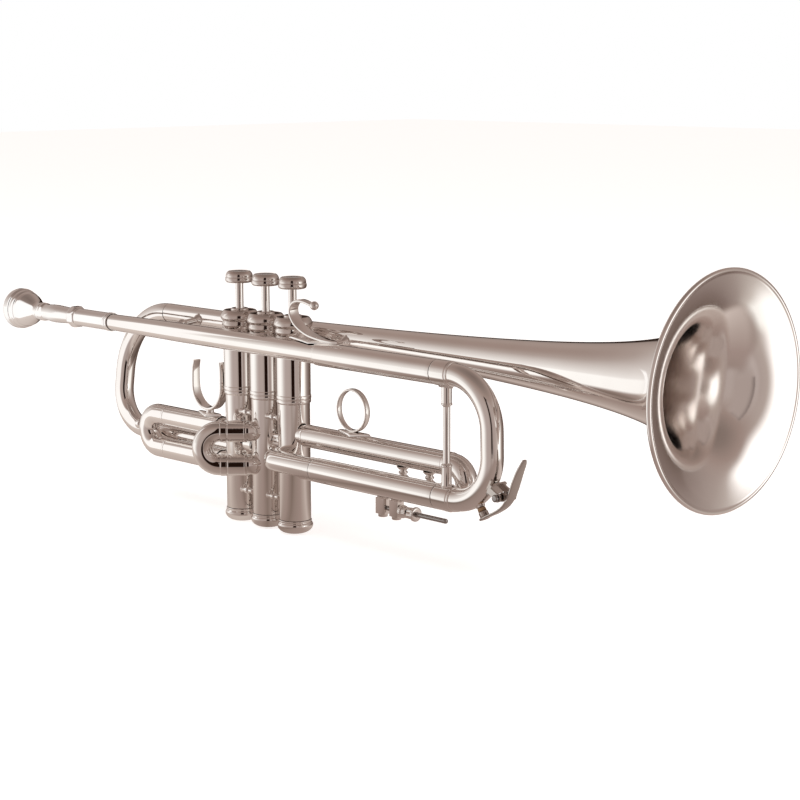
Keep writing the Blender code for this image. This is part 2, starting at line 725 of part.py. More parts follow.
def build_bell_bow():
    """The bell's stem from the flare's seam back to the bow, and the bow down to the first valve."""
    top = BELL_Z - 0.3
    low = TAIL_Z

    def place(x, z):
        return (x, 0.0, z)

    corner_x = BELL_BOW_BACK_X + BELL_BOW_TOP_R
    foot_x = BELL_BOW_BACK_X + BELL_BOW_FOOT_R
    path = [(BELL_STEM_X - GAP, 0.0, top)]
    path += arc((corner_x, top - BELL_BOW_TOP_R), BELL_BOW_TOP_R, 90.0, 180.0, 7, place)
    path += arc((foot_x, low + BELL_BOW_FOOT_R), BELL_BOW_FOOT_R, 180.0, 270.0, 5, place)
    path = lean(path, BELL_Y, TAIL_Y, top, low)
    path.append((-80.0, TAIL_Y, low))

    def level(x, y):
        return (x, y, low)

    path += arc((-40.0, TAIL_Y - 13.0), 13.0, 90.0, 38.0, 4, level)
    stem = [BELL_SEAM_X, 125.0, 100.0, 65.0, 30.0, -40.0]
    outer = [flare_radius(x) for x in stem] + [BELL_BOW_TUBE_R] * len(path)
    inner = [radius - BELL_WALL for radius in outer]
    path = [(x, BELL_Y, BELL_Z) for x in stem] + path
    bow = tube("bell_bow", path, outer, inner, TUBE_SIDES, silver())
    clear_of_casing(bow, 1)


def build_brace(name, x, pipe_r):
    """A waisted brace from the leadpipe across to the bell's stem, with a foot at each end."""
    right = np.array([x, LEADPIPE_Y, LEADPIPE_Z])
    left = np.array([x, BELL_Y, BELL_Z])
    way = unit(left - right)
    length = float(np.linalg.norm(left - right)) - pipe_r - flare_radius(x) - 2.0 * GAP
    base = right + way * (pipe_r + GAP)
    profile = [
        (0.0, 0.0), (0.0, 4.4), (0.9, 3.2), (2.4, 2.0), (length / 2.0, 1.8),
        (length - 2.4, 2.0), (length - 0.9, 3.2), (length, 4.4), (length, 0.0),
    ]
    lathe(name, profile, base, way, 12, silver())


# ---- Valve slides ----

def build_first_slide():
    path = u_path(FIRST_BEND_X, FIRST_SLEEVE_X, FIRST_SLEEVE_X, FIRST_Y, FIRST_TOP_Z, FIRST_LOW_Z, -1)
    seam = FIRST_SEAM_X
    head = [(FIRST_SLEEVE_X, SLEEVE_R + 0.15, SLEEVE_BORE_R)]
    head += [(FIRST_SLEEVE_X - 1.6, SLEEVE_R + 0.15, SLEEVE_BORE_R)]
    head += [(FIRST_SLEEVE_X - 1.7, SLEEVE_R, SLEEVE_BORE_R), (seam, SLEEVE_R, SLEEVE_BORE_R)]
    head += [(seam - 0.1, SLEEVE_R - 0.1, SLIDE_LEG_BORE_R), (seam - 0.4, SLEEVE_R, SLIDE_LEG_BORE_R)]
    bend = path[1:-1]
    stations = [(x, FIRST_Y, FIRST_TOP_Z) for x, r, b in head] + bend
    stations += [(x, FIRST_Y, FIRST_LOW_Z) for x, r, b in reversed(head)]
    outer = [r for x, r, b in head] + [SLEEVE_R] * len(bend) + [r for x, r, b in reversed(head)]
    inner = [b for x, r, b in head] + [SLIDE_LEG_BORE_R] * len(bend) + [b for x, r, b in reversed(head)]
    origin = (FIRST_SLEEVE_X, FIRST_Y, FIRST_TOP_Z)
    slide = tube("first_slide", stations, outer, inner, TUBE_SIDES, silver(), origin)
    middle = (FIRST_TOP_Z + FIRST_LOW_Z) / 2.0 + 1.5
    knob = [(0.0, 0.0), (0.0, 2.2), (3.2, 2.2), (3.4, 3.0), (6.2, 3.2), (6.9, 2.4), (6.9, 0.0)]
    join(slide, *turned(knob, (-118.6, FIRST_Y, middle), (-1.0, 0.0, 0.0), 12))


def build_thumb_saddle():
    foot_z = FIRST_TOP_Z + SLEEVE_R + GAP
    centre_x = -50.6
    half = 13.6
    bottom = foot_z + 3.3
    path = [(centre_x - half + 1.6, bottom + 29.0), (centre_x - half, bottom + 21.0)]
    for i in range(9):
        angle = math.pi * (1.0 + i / 8.0)
        path.append((centre_x + half * math.cos(angle), bottom + 14.0 + 14.0 * math.sin(angle)))
    path += [(centre_x + half, bottom + 21.0), (centre_x + half - 1.0, bottom + 30.0)]
    widths = [5.4, 5.6] + [5.8, 6.0, 6.2, 6.6, 6.8, 6.6, 6.2, 6.0, 5.8] + [5.6, 5.4]
    saddle = solid("thumb_saddle", *strap(path, widths, 1.6, FIRST_Y), silver())
    join(saddle, *diamond((centre_x - 0.4, FIRST_Y), 11.5, 3.6, foot_z, foot_z + 1.0))
    join(saddle, *rod((centre_x, FIRST_Y, foot_z + 0.4), (centre_x, FIRST_Y, bottom + 0.3), 2.6, 10))


def build_first_fixed():
    for name, z in (("first_slide_inner_upper", FIRST_TOP_Z), ("first_slide_inner_lower", FIRST_LOW_Z)):
        path = [(-89.0, FIRST_Y, z), (-28.0, FIRST_Y, z)]
        leg = tube(name, path, SLIDE_LEG_R, SLIDE_LEG_BORE_R, TUBE_SIDES, silver())
        clear_of_casing(leg, 1)


def second_axis():
    port = np.array([-math.sin(SECOND_PORT_ANGLE), -math.cos(SECOND_PORT_ANGLE)])
    way = np.array([-math.sin(SECOND_ANGLE), -math.cos(SECOND_ANGLE)])
    return port, way


def second_elbow():
    """The short bend from the middle casing's wall out to the slide's own direction."""
    port, way = second_axis()
    bend = 9.0
    left = np.array([-port[1], port[0]])
    turn = -1.0 if left[0] * way[0] + left[1] * way[1] < 0 else 1.0
    start = port * 9.4
    centre = start + left * turn * bend
    stations = []
    total = SECOND_ANGLE - SECOND_PORT_ANGLE
    for i in range(5):
        angle = total * i / 4.0
        offset = -left * turn * math.cos(angle) + port * math.sin(angle)
        stations.append(centre + offset * bend)
    return stations


def build_second_slide():
    port, way = second_axis()
    stations = second_elbow()
    end = stations[-1]
    reach = float(np.dot(end, way))
    sides = cross_frame((way[0], way[1], 0.0))[0]
    for name, z in (("second_slide_outer_upper", SECOND_TOP_Z), ("second_slide_outer_lower", SECOND_LOW_Z)):
        start = port * 4.0
        path = [(start[0], start[1], z)] + [(p[0], p[1], z) for p in stations]
        for distance, offset in ((reach + 0.1, 0.1), (23.8, 0.0)):
            place = end + way * (distance - reach)
            path.append((place[0], place[1], z))
        outer = [6.2] * (len(path) - 2) + [SLEEVE_R, SLEEVE_R]
        inner = [SLIDE_LEG_BORE_R] * (len(path) - 2) + [SLEEVE_BORE_R, SLEEVE_BORE_R]
        outer_tube = tube(name, path, outer, inner, TUBE_SIDES, silver())
        clear_of_casing(outer_tube, 2)
    radius = (SECOND_TOP_Z - SECOND_LOW_Z) / 2.0
    middle = (SECOND_TOP_Z + SECOND_LOW_Z) / 2.0
    legs = ((13.2, SLIDE_LEG_R), (24.1, SLIDE_LEG_R), (24.16, SLEEVE_R), (28.0, SLEEVE_R), (28.06, 6.35))

    def at(distance, z):
        place = end + way * (distance - reach)
        return (place[0], place[1], z)

    path = [at(d, SECOND_TOP_Z) for d, r in legs]
    bend = []
    for i in range(8):
        angle = math.pi * i / 7
        bend.append(at(28.5 + radius * math.sin(angle), middle + radius * math.cos(angle)))
    path += bend + [at(d, SECOND_LOW_Z) for d, r in reversed(legs)]
    outer = [r for d, r in legs] + [6.35] * len(bend) + [r for d, r in reversed(legs)]
    origin = at(24.1, SECOND_TOP_Z)
    tube("second_slide", path, outer, SLIDE_LEG_BORE_R, TUBE_SIDES, silver(), origin, tuple(sides))


def build_third_slide():
    path = u_path(THIRD_BEND_X, 0.0, 0.0, 0.0, THIRD_TOP_Z, THIRD_LOW_Z, 1)
    seam = THIRD_SEAM_X
    tail = [(seam - 0.1, SLEEVE_R, SLEEVE_BORE_R), (seam, SLEEVE_R + 0.15, SLIDE_LEG_BORE_R)]
    tail += [(THIRD_BEND_X - 0.6, SLEEVE_R + 0.15, SLIDE_LEG_BORE_R)]
    tail += [(THIRD_BEND_X - 0.5, 6.35, SLIDE_LEG_BORE_R)]
    upper = [(THIRD_SLEEVE_X, SLEEVE_R, SLEEVE_BORE_R)] + tail
    lower = [(THIRD_LOW_SLEEVE_X, SLEEVE_R, SLEEVE_BORE_R)] + tail
    bend = path[1:-1]
    stations = [(x, 0.0, THIRD_TOP_Z) for x, r, b in upper] + bend
    stations += [(x, 0.0, THIRD_LOW_Z) for x, r, b in reversed(lower)]
    outer = [r for x, r, b in upper] + [6.35] * len(bend) + [r for x, r, b in reversed(lower)]
    inner = [b for x, r, b in upper] + [SLIDE_LEG_BORE_R] * len(bend) + [b for x, r, b in reversed(lower)]
    origin = (THIRD_SLEEVE_X, 0.0, THIRD_TOP_Z)
    slide = tube("third_slide", stations, outer, inner, TUBE_SIDES, silver(), origin)
    low = THIRD_LOW_Z + SLEEVE_R - 0.25
    high = THIRD_TOP_Z - SLEEVE_R + 0.25
    middle = (low + high) / 2.0
    profile = [
        (low, 0.0), (low, 3.6), (low + 1.2, 3.2), (middle, 1.6), (high - 1.2, 3.2), (high, 3.6), (high, 0.0),
    ]
    for x in (117.5, 138.5):
        join(slide, *turned(profile, (x, 0.0, 0.0), (0.0, 0.0, 1.0), 10))


def build_third_fixed():
    upper = tube("third_slide_inner_upper", [(29.0, 0.0, THIRD_TOP_Z), (132.0, 0.0, THIRD_TOP_Z)],
                 SLIDE_LEG_R, SLIDE_LEG_BORE_R, TUBE_SIDES, silver())
    clear_of_casing(upper, 3)
    stop = THIRD_LOW_SLEEVE_X - GAP
    path = [(x, 0.0, THIRD_LOW_Z) for x in (29.0, stop - 0.06, stop, 136.0)]
    outer = (SLEEVE_R, SLEEVE_R, SLIDE_LEG_R, SLIDE_LEG_R)
    lower = tube("third_slide_inner_lower", path, outer, SLIDE_LEG_BORE_R, TUBE_SIDES, silver())
    clear_of_casing(lower, 3)


def build_finger_ring():
    foot_z = THIRD_TOP_Z + SLEEVE_R + GAP
    centre = (76.3, 0.0, foot_z + 0.6 + 12.65)
    profile = [(-1.9, 12.45), (-1.4, 12.65), (1.4, 12.65), (1.9, 12.45), (1.9, 11.2), (-1.9, 11.2)]
    ring = lathe("finger_ring", profile, centre, (0.0, 1.0, 0.0), 24, silver())
    join(ring, *diamond((77.0, 0.0), 14.0, 3.6, foot_z, foot_z + 1.2))


def build_stop_rod():
    top = THIRD_LOW_Z - SLEEVE_R - GAP
    for name, x, half in (("stop_bracket_rear", 100.9, 3.6), ("stop_bracket_front", 112.0, 3.4)):
        bracket = solid(name, *block((x - half, -2.9, 23.6), (x + half, 2.9, top - 0.6)), silver())
        join(bracket, *diamond((x, 0.0), half + 1.1, 3.6, top - 1.2, top))
        join(bracket, *rod((x, 0.0, 21.8), (x, 0.0, 24.0), 2.9))
        if name == "stop_bracket_front":
            cut(bracket, *rod((x - 6.0, 0.0, ROD_Z), (x + 6.0, 0.0, ROD_Z), 1.75, 10))
    rod_profile = [(104.8, 0.0), (104.8, 1.4), (151.2, 1.4), (152.2, 0.9), (152.2, 0.0)]
    lathe("stop_rod", rod_profile, (0.0, 0.0, ROD_Z), (1.0, 0.0, 0.0), 10, (SILVER, 1.0, 0.25))
    nuts = [
        (115.8, 1.75), (115.8, 3.5), (116.2, 3.8), (118.2, 3.8), (118.5, 3.3), (121.4, 3.3), (121.5, 2.5),
        (122.4, 2.5), (122.5, 3.3), (126.3, 3.3), (126.6, 4.15), (128.2, 4.15), (128.5, 3.8), (128.5, 1.75),
    ]
    lathe("stop_nuts", nuts, (0.0, 0.0, ROD_Z), (1.0, 0.0, 0.0), 14, silver())


def build():
    clear_scene()
    for valve in (1, 2, 3):
        build_casing(valve)
        build_top_cap(valve)
        build_bottom_cap(valve)
        build_piston(valve)
        build_guide(valve)
        build_stem(valve)
        build_button(valve)
        build_pearl(valve)
        build_valve_spring(valve)
    build_mouthpiece()
    build_receiver()
    build_leadpipe()
    build_outer_tubes()
    build_tuning_knuckle()
    build_tuning_slide()
    build_tuning_brace()
    build_pinky_hook()
    build_water_key()
    build_bell()
    build_bell_bow()
    build_brace("rear_brace", -83.0, 5.65)
    build_brace("front_brace", 57.0, 6.12)
    build_first_slide()
    build_thumb_saddle()
    build_first_fixed()
    build_second_slide()
    build_third_slide()
    build_third_fixed()
    build_finger_ring()
    build_stop_rod()


build()
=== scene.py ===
"""The looks of a silver-plated trumpet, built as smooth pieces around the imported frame.

Lengths inside the shape functions are in millimetres, in the frame's own axes: +X to the bell's
mouth, +Y the player's left, +Z up. They are turned into metres when a mesh is made. Materials,
the stage, the lamp and the camera are in metres.
"""

from math import acos, copysign, cos, hypot, pi, radians, sin, sqrt

import bmesh
import bpy
import numpy as np
from mathutils import Matrix, Vector


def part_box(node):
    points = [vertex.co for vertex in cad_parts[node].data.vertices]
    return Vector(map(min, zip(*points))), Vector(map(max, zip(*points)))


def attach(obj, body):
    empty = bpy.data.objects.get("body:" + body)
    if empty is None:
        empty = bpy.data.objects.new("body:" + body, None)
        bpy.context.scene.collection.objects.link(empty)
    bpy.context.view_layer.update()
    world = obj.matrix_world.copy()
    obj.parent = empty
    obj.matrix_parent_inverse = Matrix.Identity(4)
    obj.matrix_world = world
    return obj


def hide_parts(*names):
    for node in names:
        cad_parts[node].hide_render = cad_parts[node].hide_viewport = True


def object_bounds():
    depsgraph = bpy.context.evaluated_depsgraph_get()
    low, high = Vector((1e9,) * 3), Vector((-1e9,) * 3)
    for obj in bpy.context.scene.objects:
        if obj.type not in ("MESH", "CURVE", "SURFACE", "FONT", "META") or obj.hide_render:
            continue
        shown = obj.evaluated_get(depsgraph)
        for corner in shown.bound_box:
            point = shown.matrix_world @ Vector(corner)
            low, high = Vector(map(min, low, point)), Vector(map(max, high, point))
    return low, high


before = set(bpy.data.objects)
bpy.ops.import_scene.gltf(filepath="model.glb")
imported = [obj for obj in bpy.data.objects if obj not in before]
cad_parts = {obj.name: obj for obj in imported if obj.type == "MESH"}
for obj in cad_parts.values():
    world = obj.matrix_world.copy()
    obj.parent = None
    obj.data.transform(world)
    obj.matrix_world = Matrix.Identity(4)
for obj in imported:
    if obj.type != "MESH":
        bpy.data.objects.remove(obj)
cad_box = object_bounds()

MM = 0.001
SIDES = 96
UP = np.array([0.0, 0.0, 1.0])
ALONG = np.array([1.0, 0.0, 0.0])
ACROSS = np.array([0.0, 1.0, 0.0])


# ---- Node trees ----

class Tree:
    """The node tree of one material or world, with short calls for the nodes used here."""

    def __init__(self, owner, empty=False):
        owner.use_nodes = True
        self.nodes, self.links = owner.node_tree.nodes, owner.node_tree.links
        if empty:
            self.nodes.clear()

    def feed(self, slot, value):
        """Links another node's output to the slot, or sets a number, vector or colour on it."""
        if isinstance(value, bpy.types.NodeSocket):
            self.links.new(value, slot)
        elif isinstance(value, tuple) and slot.type == "RGBA":
            slot.default_value = (*value, 1.0)
        else:
            slot.default_value = value

    def fill(self, node, inputs):
        for key, value in inputs.items():
            self.feed(node.inputs[key], value)

    def add(self, kind, inputs, **settings):
        made = self.nodes.new("ShaderNode" + kind)
        for key, value in settings.items():
            setattr(made, key, value)
        self.fill(made, inputs)
        return made

    def place(self, kind="Object"):
        return self.add("TexCoord", {}).outputs[kind]

    def axes(self, vector):
        parts = self.add("SeparateXYZ", {"Vector": vector})
        return {axis: parts.outputs[axis] for axis in "XYZ"}

    def noise(self, source, scale, detail, stretch=(1, 1, 1)):
        mapped = self.add("Mapping", {"Scale": stretch, "Vector": source}).outputs["Vector"]
        inputs = {"Scale": scale, "Detail": detail, "Vector": mapped}
        return self.add("TexNoise", inputs).outputs["Fac"]

    def ramp(self, source, stops):
        made = self.add("ValToRGB", {"Fac": source})
        elements = made.color_ramp.elements
        while len(elements) < len(stops):
            elements.new(0.5)
        for element, (place, colour) in zip(elements, stops):
            element.position = place
            element.color = (*colour, 1.0)
        return made.outputs["Color"]

    def spread(self, source, low, high):
        """The middle of a noise's range, stretched to run from low to high."""
        inputs = {"Value": source, "From Min": 0.3, "From Max": 0.7, "To Min": low, "To Max": high}
        return self.add("MapRange", inputs).outputs["Result"]

    def mask(self, source, start, end, kind="SMOOTHSTEP"):
        """0 at start and 1 at end."""
        inputs = {"Value": source, "From Min": start, "From Max": end}
        return self.add("MapRange", inputs, interpolation_type=kind).outputs["Result"]

    def calc(self, operation, *values):
        return self.add("Math", dict(enumerate(values)), operation=operation).outputs["Value"]

    def vector(self, operation, *values):
        return self.add("VectorMath", dict(enumerate(values)), operation=operation)

    def band(self, source, start, end, soft):
        """1 between start and end and 0 outside them, with soft edges."""
        rise = self.mask(source, start - soft, start + soft)
        return self.calc("MULTIPLY", rise, self.mask(source, end + soft, end - soft))

    def mix(self, factor, base, over):
        return self.add("Mix", {"Factor": factor, "A": base, "B": over}).outputs["Result"]

    def blend(self, factor, base, over):
        """mix, for colours. A colour's slots and output are told apart by number."""
        return self.add("Mix", {"Factor": factor, 6: base, 7: over}, data_type="RGBA").outputs[2]

    def azimuth(self, axes):
        """Degrees round the upright axis, from the front (-Y) towards the bell (+X)."""
        turned = self.calc("ARCTAN2", axes["X"], self.calc("MULTIPLY", axes["Y"], -1))
        return self.calc("MULTIPLY", turned, 180 / pi)

    def tones_round(self, azimuth, tones):
        """Colours that follow the azimuth, from a table of degrees and colours."""
        stops = [((turned + 180) / 360, tone) for turned, *tone in tones]
        return self.ramp(self.mask(azimuth, -180, 180, "LINEAR"), stops)


# ---- Materials ----

CLOUD_SCALE, POLISH_SCALE, MARK_SCALE = 22, 95, 900
BUMP_DEPTH = 0.0002


def new_material(name, colour, metallic, roughness):
    made = bpy.data.materials.new(name)
    tree = Tree(made)
    shader = tree.nodes["Principled BSDF"]
    tree.fill(shader, {"Base Color": colour, "Metallic": metallic, "Roughness": roughness})
    return made, tree, shader


def roughen(tree, shader, height, strength):
    inputs = {"Strength": strength, "Distance": BUMP_DEPTH, "Height": height}
    tree.fill(shader, {"Normal": tree.add("Bump", inputs).outputs["Normal"]})


def metal(name, light, dark, smooth, dull, grain=0.03, stretch=(1, 1, 1)):
    """Plated or bare metal: a cloudy tint, a patchy polish and hair-fine handling marks."""
    made, tree, shader = new_material(name, light, 1, smooth)
    where = tree.place()
    cloud = tree.noise(where, CLOUD_SCALE, 3)
    tint = tree.ramp(cloud, ((0.35, dark), (0.62, light)))
    polish = tree.noise(where, POLISH_SCALE, 5, stretch)
    tree.fill(shader, {"Base Color": tint, "Roughness": tree.spread(polish, smooth, dull)})
    roughen(tree, shader, tree.noise(where, MARK_SCALE, 2, stretch), grain)
    return made


def mottled(name, light, dark, roughness, scale, strength):
    """Cork or moulded nylon: one noise drives the tint, the roughness and the bump."""
    made, tree, shader = new_material(name, light, 0, roughness)
    cloud = tree.noise(tree.place(), scale, 6)
    tint = tree.ramp(cloud, ((0.35, dark), (0.65, light)))
    dull = tree.spread(cloud, roughness, roughness * 1.3)
    tree.fill(shader, {"Base Color": tint, "Roughness": dull})
    roughen(tree, shader, cloud, strength)
    return made


PLATE_LIGHT, PLATE_DARK = (0.94, 0.915, 0.895), (0.9, 0.872, 0.85)
SILVER = metal("polished_silver", PLATE_LIGHT, PLATE_DARK, 0.018, 0.045, 0.015)
BRIGHT = metal("bright_silver", (0.97, 0.965, 0.96), (0.93, 0.92, 0.91), 0.03, 0.07, 0.02)
# A copy of the plate whose colour is darkened as painted shade, standing in for the dark
# reflections on the water key's saddle and lever; it is also a little rougher.
SHADED_SILVER = metal("silver_painted_shade", (0.62, 0.58, 0.55), (0.52, 0.48, 0.45), 0.1, 0.2, 0.05)
# A darker, slightly rougher copy of the plate, for the top caps and the finger buttons.
DARKENED_SILVER = metal("darkened_silver", (0.84, 0.8, 0.775), (0.76, 0.71, 0.68), 0.07, 0.12, 0.04)
MONEL = metal("honed_nickel_alloy", (0.66, 0.63, 0.6), (0.6, 0.57, 0.54), 0.2, 0.3, 0.06,
              (1, 1, 8))
STEEL = metal("steel_wire", (0.42, 0.4, 0.39), (0.32, 0.3, 0.29), 0.18, 0.3)
CORK = mottled("pressed_cork", (0.5, 0.34, 0.2), (0.33, 0.2, 0.11), 0.75, 700, 0.5)
NYLON = mottled("moulded_nylon", (0.8, 0.79, 0.75), (0.74, 0.72, 0.68), 0.4, 90, 0.05)

THROAT_START, THROAT_END = 0.288, 0.246
# The colour of the painted shade deep inside the bell's throat.
THROAT_SHADE_TONE = (0.46, 0.35, 0.3)


def bell_metal():
    """Silver plate: mirror bright outside the bell, lapped inside it and dull in its throat, where
    its colour is darkened towards brown as painted shade.
    """
    made, tree, shader = new_material("bell_silver", (0.93, 0.905, 0.885), 1, 0.2)
    where = tree.place()
    tint = tree.ramp(tree.noise(where, CLOUD_SCALE, 3), ((0.35, PLATE_DARK), (0.62, PLATE_LIGHT)))
    axis_place = (0, BELL_Y / 1000, BELL_Z / 1000)
    outward = tree.vector("SUBTRACT", where, axis_place).outputs["Vector"]
    outward = tree.vector("MULTIPLY", outward, (0, 1, 1)).outputs["Vector"]
    facing = tree.vector("DOT_PRODUCT", outward, tree.place("Normal")).outputs["Value"]
    inside = tree.mask(facing, 0.0015, -0.0015, "LINEAR")
    throat = tree.mask(tree.axes(where)["X"], THROAT_START, THROAT_END, "LINEAR")
    polish = tree.noise(where, POLISH_SCALE, 5)
    lapped = tree.mix(throat, tree.spread(polish, 0.09, 0.13), 0.4)
    roughness = tree.mix(inside, tree.spread(polish, 0.02, 0.05), lapped)
    # Painted shade: inside the throat the colour is darkened towards the brown above.
    throat_shaded = tree.blend(tree.calc("MULTIPLY", inside, throat), tint, THROAT_SHADE_TONE)
    tree.fill(shader, {"Roughness": roughness, "Base Color": throat_shaded})
    roughen(tree, shader, tree.noise(where, MARK_SCALE, 2), 0.015)
    return made


def pearl_material():
    made, tree, shader = new_material("pearl_inlay", (0.87, 0.86, 0.82), 0, 0.12)
    cloud = tree.noise(tree.place(), 260, 4, (1, 0.6, 1))
    stops = ((0.3, (0.74, 0.79, 0.8)), (0.5, (0.9, 0.88, 0.84)), (0.7, (0.86, 0.76, 0.76)))
    tint = tree.ramp(cloud, stops)
    tree.fill(shader, {"Base Color": tint, "Coat Weight": 0.6, "Coat Roughness": 0.05})
    return made


PEARL = pearl_material()


# ---- Shape functions: each returns one shell, as (points, faces) ----

def unit(vector):
    vector = np.array(vector, float)
    return vector / np.linalg.norm(vector)


def cross_frame(direction):
    direction = unit(direction)
    start = UP if abs(direction[2]) < 0.9 else ALONG
    first = unit(start - direction * np.dot(start, direction))
    return first, np.cross(direction, first)


def eased(profile, size, steps=4):
    """Rounds the corners of a profile, each by no more than its neighbours leave room for."""
    profile = [np.array(p, float) for p in profile]
    made = [profile[0]]
    for before, here, after in zip(profile, profile[1:], profile[2:]):
        back, ahead = before - here, after - here
        room_back, room_ahead = np.linalg.norm(back), np.linalg.norm(ahead)
        turn = pi - acos(np.clip(np.dot(back, ahead) / (room_back * room_ahead), -1.0, 1.0))
        if turn < 0.12:
            made.append(here)
            continue
        reach = min(size, 0.45 * room_back, 0.45 * room_ahead)
        one, two = here + back / room_back * reach, here + ahead / room_ahead * reach
        for i in range(steps + 1):
            t = i / steps
            made.append(one * (1 - t) ** 2 + here * 2 * t * (1 - t) + two * t * t)
    made.append(profile[-1])
    return made


def lathe(profile, base, direction, sides=SIDES, radius_at=None):
    """A turned shell: closed where its profile ends on the axis, and joined end to end if not."""
    base = np.array(base, float)
    direction = unit(direction)
    first, second = cross_frame(direction)
    points, rows = [], []
    for along, radius in profile:
        if radius <= 1e-6:
            rows.append([len(points)] * sides)
            points.append(base + direction * along)
            continue
        rows.append(list(range(len(points), len(points) + sides)))
        for k in range(sides):
            angle = 2 * pi * k / sides
            size = radius if radius_at is None else radius_at(along, radius, angle)
            points.append(base + direction * along + circle(first, second, angle) * size)
    pairs = list(zip(rows, rows[1:]))
    if profile[0][1] > 1e-6:
        pairs.append((rows[-1], rows[0]))
    faces = []
    for low, high in pairs:
        for k in range(sides):
            n = (k + 1) % sides
            face = tuple(dict.fromkeys((low[k], low[n], high[n], high[k])))
            if len(face) > 2:
                faces.append(face)
    return points, faces


def turned(profile, ease, base, direction=ALONG, sides=SIDES, radius_at=None):
    return lathe(eased(profile, ease), base, direction, sides, radius_at)


def spindle(low, high, ends, waist):
    """The profile of a turned post: the same ends at both feet and its own middle."""
    near = [(low, 0.0)] + [(low + step, radius) for step, radius in ends]
    far = [(high - step, radius) for step, radius in reversed(ends)] + [(high, 0.0)]
    return near + list(waist) + far


def straight(places, y, z):
    return [(x, y, z) for x in places]


def circle(first, second, angle):
    return first * cos(angle) + second * sin(angle)


def rings_along(path, start):
    """A centre, a normal and a side for each station of a path, without twist."""
    path = [np.array(p, float) for p in path]
    normal = np.array(start, float)
    made = []
    for i, here in enumerate(path):
        tangent = unit(path[min(i + 1, len(path) - 1)] - path[max(i - 1, 0)])
        normal = unit(normal - tangent * np.dot(normal, tangent))
        made.append((here, normal, np.cross(tangent, normal), tangent))
    return made


def skin(rows, sides, joined=False):
    """Quads between rings of points, and from the last ring to the first if they are joined."""
    faces = []
    for row in range(rows if joined else rows - 1):
        low, high = row * sides, (row + 1) % rows * sides
        for k in range(sides):
            n = (k + 1) % sides
            faces.append((low + k, low + n, high + n, high + k))
    return faces


def hose(path, outer, inner=None, sides=64, start=UP, cope=None):
    """A round tube or rod along a path. cope = (x, radius) fits its last end to a cylinder."""
    rings = rings_along(path, start)
    count = len(rings)
    outer = [outer] * count if np.isscalar(outer) else list(outer)
    loops = [(i, outer[i]) for i in range(count)]
    if inner is not None:
        inner = [inner] * count if np.isscalar(inner) else list(inner)
        loops += [(i, inner[i]) for i in reversed(range(count))]
    points = []
    for i, radius in loops:
        centre, normal, side, tangent = rings[i]
        for k in range(sides):
            angle = 2 * pi * k / sides
            point = centre + circle(normal, side, angle) * radius
            if cope is not None and i == count - 1:
                point = to_cylinder(point, tangent, cope)
            points.append(point)
    faces = skin(len(loops), sides, inner is not None)
    if inner is None:
        faces.append(tuple(reversed(range(sides))))
        faces.append(tuple((len(loops) - 1) * sides + k for k in range(sides)))
    return points, faces


def to_cylinder(point, tangent, cope):
    """Slides a point along a tangent until it meets an upright cylinder, on the near side."""
    x, radius = cope
    offset = np.array([point[0] - x, point[1]])
    way = tangent[:2]
    a, b, c = way @ way, 2 * offset @ way, offset @ offset - radius * radius
    root = max(b * b - 4 * a * c, 0.0)
    return point + tangent * (-b - sqrt(root)) / (2 * a)


def smooth_line(points, per=8):
    """A Catmull-Rom curve through points, which may carry extra values such as a width."""
    points = [np.array(p, float) for p in points]
    ends = [2 * points[0] - points[1]] + points + [2 * points[-1] - points[-2]]
    made = []
    for a, b, c, d in zip(ends, ends[1:], ends[2:], ends[3:]):
        for i in range(per):
            t = i / per
            made.append(0.5 * (2 * b + (c - a) * t + (2 * a - 5 * b + 4 * c - d) * t * t
                               + (3 * b - a - 3 * c + d) * t ** 3))
    made.append(points[-1])
    return made


def rounded_box(half_a, half_b, corner):
    """The 20 points of a rectangle with rounded corners."""
    made = []
    for way_a, way_b, begin in ((1, 1, 0), (-1, 1, 90), (-1, -1, 180), (1, -1, 270)):
        for k in range(5):
            angle = radians(begin + 22.5 * k)
            made.append((way_a * (half_a - corner) + corner * cos(angle),
                         way_b * (half_b - corner) + corner * sin(angle)))
    return made


def strap(stations, thickness, y, corner):
    """A bent strap in an X-Z plane with rounded edges. Each station is (x, z, width)."""
    points, section, count = [], 20, len(stations)
    for i, (x, z, width) in enumerate(stations):
        ahead, behind = stations[min(i + 1, count - 1)], stations[max(i - 1, 0)]
        along = unit((ahead[0] - behind[0], 0.0, ahead[1] - behind[1]))
        lift = np.array([-along[2], 0.0, along[0]])
        deep = thickness / 2
        for across, up in rounded_box(width / 2, deep, min(corner, deep * 0.9)):
            points.append(np.array([x, y, z]) + ACROSS * across + lift * up)
    faces = skin(count, section)
    faces.append(tuple(range(section)))
    faces.append(tuple((count - 1) * section + k for k in reversed(range(section))))
    return points, faces


